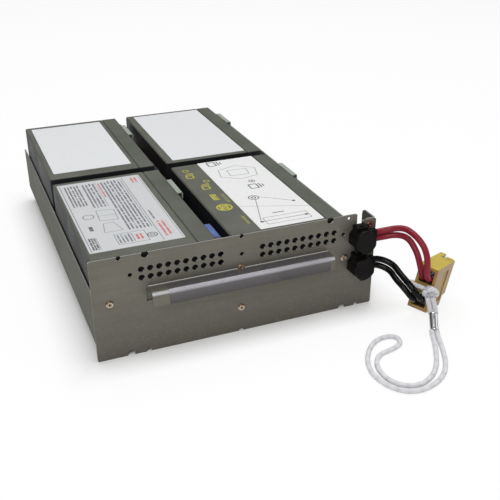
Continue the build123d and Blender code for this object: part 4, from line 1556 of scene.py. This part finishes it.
@dataclass
class Labels:
    """Labels on the blocks, print on one case and the film on the handle.

    Attributes:
        shop: Where finishes are made.
        white: Colour of the brightest label.
        cool: Colour of the two blank labels.
        grey: Colour of the printed label.
    """

    shop: Workshop
    white: Colour = shade(224, 225, 224)
    cool: Colour = shade(216, 218, 220)
    grey: Colour = shade(196, 198, 200)

    def build(self) -> None:
        """Dress the four labels, the printed case and the film."""
        for place in ("rear_left", "rear_right"):
            self.shop.dress("block_label_" + place, LabelPaper("plain_label", self.cool))
        for side, name, tone, marks in (
            ("left", "ruled_label", self.grey, self.small_print()),
            ("right", "drawn_label", self.white, self.drawing()),
        ):
            node = "block_label_front_" + side
            self.shop.dress(node, LabelPaper(name, tone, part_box(node)[0], marks))
        low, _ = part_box("battery_case_front_right")
        seam = Patch(Ink.BLACK, 0.75, 79.7 - SEAM, 0, 79.7, 151)
        printed = replace(CASE, name="printed_case_plastic", corner=low, marks=(seam, *self.case_print()))
        self.shop.dress("battery_case_front_right", printed)
        low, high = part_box("handle_label")
        # the film's first colour is the painted highlight on the fold
        self.shop.dress("handle_label", GlossyFilm(
            "handle_film", shade(190, 186, 194), shade(94, 91, 93), shade(58, 55, 54), low.z, high.z))
        log.info("dressed the labels")

    def small_print(self) -> tuple[Mark, ...]:
        """Columns of small print, rules and a boxed note, for a label 71.5 by 135.

        Returns:
            The marks.
        """
        black, grey, red = Ink.BLACK, Ink.GREY, Ink.RED
        marks = [
            Patch(black, 0.8, 1.6, 1.5, 2.1, 133.5),
            Patch(black, 0.7, 55.4, 1.5, 55.9, 133.5),
            Patch(black, 0.7, 70, 1.5, 70.4, 133.5),
            Lines(red, 0.7, 59, 8, 66, 36, 3.4, 0.55, 0.2),
            Lines(grey, 0.8, 58.5, 40, 62.5, 58, 4, 0.35),
            Lines(red, 0.7, 62, 118, 68, 130, 3.2, 0.6, 0.3),
            Lines(grey, 0.85, 36, 28, 54, 130, 2.9, 0.5),
            Lines(red, 0.7, 33.2, 96, 34.6, 128, 2.9, 0.5),
            Lines(grey, 0.85, 20, 78, 32, 130, 2.9, 0.5),
            Lines(black, 0.75, 5, 84, 18, 130, 2.6, 0.5),
            Lines(black, 0.85, 3.5, 4, 9.5, 24, 1.9, 0.7, 0.6),
            Lines(grey, 0.8, 24.5, 8, 36, 22, 2.7, 0.5),
            Lines(red, 0.8, 38, 10, 44, 19, 3, 0.6, 0.3),
            Ring(black, 0.85, (50, 14), 3.6, 0.9),
            Ring(black, 0.8, (50, 14), 1.6, 0.8),
            Ring(grey, 0.8, (12, 62), 4.2, 0.8),
            Lines(black, 0.8, 8, 36, 14, 44, 6, 0.5, 0.2),
        ]
        marks += outline(black, 0.6, [(23, 6), (46, 6), (46, 24), (23, 24)], 0.6)
        marks += outline(grey, 0.7, [(19, 52), (33, 50), (34, 70), (20, 72)], 0.6)
        marks += outline(grey, 0.7, [(18, 30), (32, 30), (28, 46), (20, 46)], 0.6)
        marks.append(Stroke(grey, 0.7, (19, 61), (33.5, 60), 0.5))
        return tuple(marks)

    def drawing(self) -> tuple[Mark, ...]:
        """A thin line drawing of blocks and links, for a label 53.6 by 149.4.

        Returns:
            The marks.
        """
        black, grey = Ink.BLACK, Ink.GREY
        marks = [
            Ring(black, 0.9, (30.5, 92), 2.6, 0.8),
            Ring(black, 0.9, (30.5, 92), 0.9, 0.8),
            Ring(black, 0.9, (18, 58), 4.2, 0.9),
            Ring(black, 0.9, (18, 58), 1.7, 1.1),
            Stroke(black, 0.8, (6, 12), (44, 12), 0.7),
            Stroke(black, 0.8, (20, 24), (30, 24), 1.4),
            Stroke(black, 0.8, (18, 53.8), (6, 14), 0.6),
            Stroke(black, 0.8, (22.2, 58), (46, 40), 0.6),
            Stroke(grey, 0.7, (0, 46), (53.6, 26), 0.5),
            Ring(black, 0.9, (6, 12), 0.9, 1.2),
            Ring(black, 0.9, (44, 12), 0.9, 1.2),
            Ring(black, 0.9, (46, 40), 0.9, 1.2),
        ]
        marks += outline(grey, 0.8, [(9, 110), (24, 100), (41, 104), (45, 121), (30, 132), (12, 126)], 0.6)
        marks += outline(grey, 0.8, [(18, 110), (35, 109), (37, 122), (19, 123)], 0.6)
        for x, y in ((8, 138), (24, 76)):
            marks += outline(black, 0.85, [(x, y), (x + 7, y), (x + 7, y + 9), (x, y + 9)], 1.2)
            marks.append(Stroke(black, 0.85, (x + 9.5, y), (x + 9.5, y + 9), 1.2))
            marks.append(Stroke(black, 0.85, (x + 12, y + 2), (x + 12, y + 7), 1.2))
        marks += outline(black, 0.7, [(9, 6), (46, 6), (46, 18), (9, 18)], 0.6)
        return tuple(marks)

    def case_print(self) -> tuple[Mark, ...]:
        """Yellow print on the case beside the label.

        Returns:
            The marks.
        """
        yellow = Ink.YELLOW
        marks = [
            Ring(yellow, 0.85, (9.5, 137), 2.4, 0.9),
            Ring(yellow, 0.85, (19, 108), 2.4, 0.9),
            Lines(yellow, 0.95, 11, 66, 16.5, 79, 1.8, 0.7, 0.6),
            Ring(yellow, 0.9, (14, 50), 6, 1.4),
            Lines(yellow, 0.95, 10, 45.5, 18, 54.5, 1.6, 0.75, 0.9),
            Lines(yellow, 0.8, 20, 14, 22.6, 30, 1.3, 0.4, 0.8),
            Lines(yellow, 0.7, 20.5, 58, 22.8, 76, 1.3, 0.4, 0.8),
        ]
        for x, y in ((6, 119), (11, 91)):
            marks += outline(yellow, 0.9, [(x, y), (x + 6, y), (x + 6, y + 6), (x, y + 6)], 1.1)
            marks.append(Stroke(yellow, 0.9, (x, y + 8.5), (x + 8, y + 8.5), 1.1))
            marks.append(Stroke(yellow, 0.9, (x + 2, y + 11), (x + 8, y + 11), 1.1))
        return tuple(marks)


@dataclass
class Hardware:
    """Steelwork, blocks, bushings and connector: nodes of the model that keep their shape.

    Attributes:
        shop: Where finishes are made.
        pose: Where the connector lies.
    """

    shop: Workshop
    pose: ConnectorPose

    def build(self) -> None:
        """Dress every rigid node."""
        # housing colours: top and flank, partly painted light and shade, stain, and painted shade inside
        # the chambers
        housing = TwoTonePlastic(
            "housing_plastic", shade(194, 172, 58), shade(152, 118, 66),
            shade(126, 90, 50), shade(70, 36, 26), self.pose,
        )
        wear = {
            "tray": TRAY_STEEL, "front_panel": STEEL, "panel_rivets": RIVET,
            "centre_channel": DIVIDER_STEEL, "side_angle": DIVIDER_STEEL,
            "bushing_lower": BUSHING, "bushing_upper": BUSHING, "connector_housing": housing,
            "contact_red": CONTACT, "contact_black": CONTACT,
            "contact_spring_red": TERMINAL, "contact_spring_black": TERMINAL,
            "terminal_sleeve_front": BLUE_SLEEVE, "vent_screen": VENT_SHADE_SHEET, "lead_red_right": RED_LEAD,
        }
        for side in ("left", "right"):
            wear |= {
                f"base_pad_{side}": FOAM, f"rear_pad_{side}": FOAM,
                f"jumper_{side}": BLACK_LEAD, f"lead_black_{side}": BLACK_LEAD,
            }
        for place in PLACES:
            wear |= {
                f"battery_case_{place}": CASE, f"battery_lid_{place}": LID,
                f"battery_terminals_{place}": TERMINAL, f"terminal_sleeves_{place}": DARK_SLEEVE,
                f"terminal_cover_{place}": COVER,
            }
        for node, kind in wear.items():
            self.shop.dress(node, kind)
            log.info("dressed %s", node)


def main() -> None:
    """Build the scene, piece by piece."""
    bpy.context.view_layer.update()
    shop, pose = Workshop(), ConnectorPose()
    Studio().build()
    Leads(shop, pose).build()
    Lanyard(shop, pose).build()
    Hardware(shop, pose).build()
    Labels(shop).build()


if __name__ == "__main__":
    main()
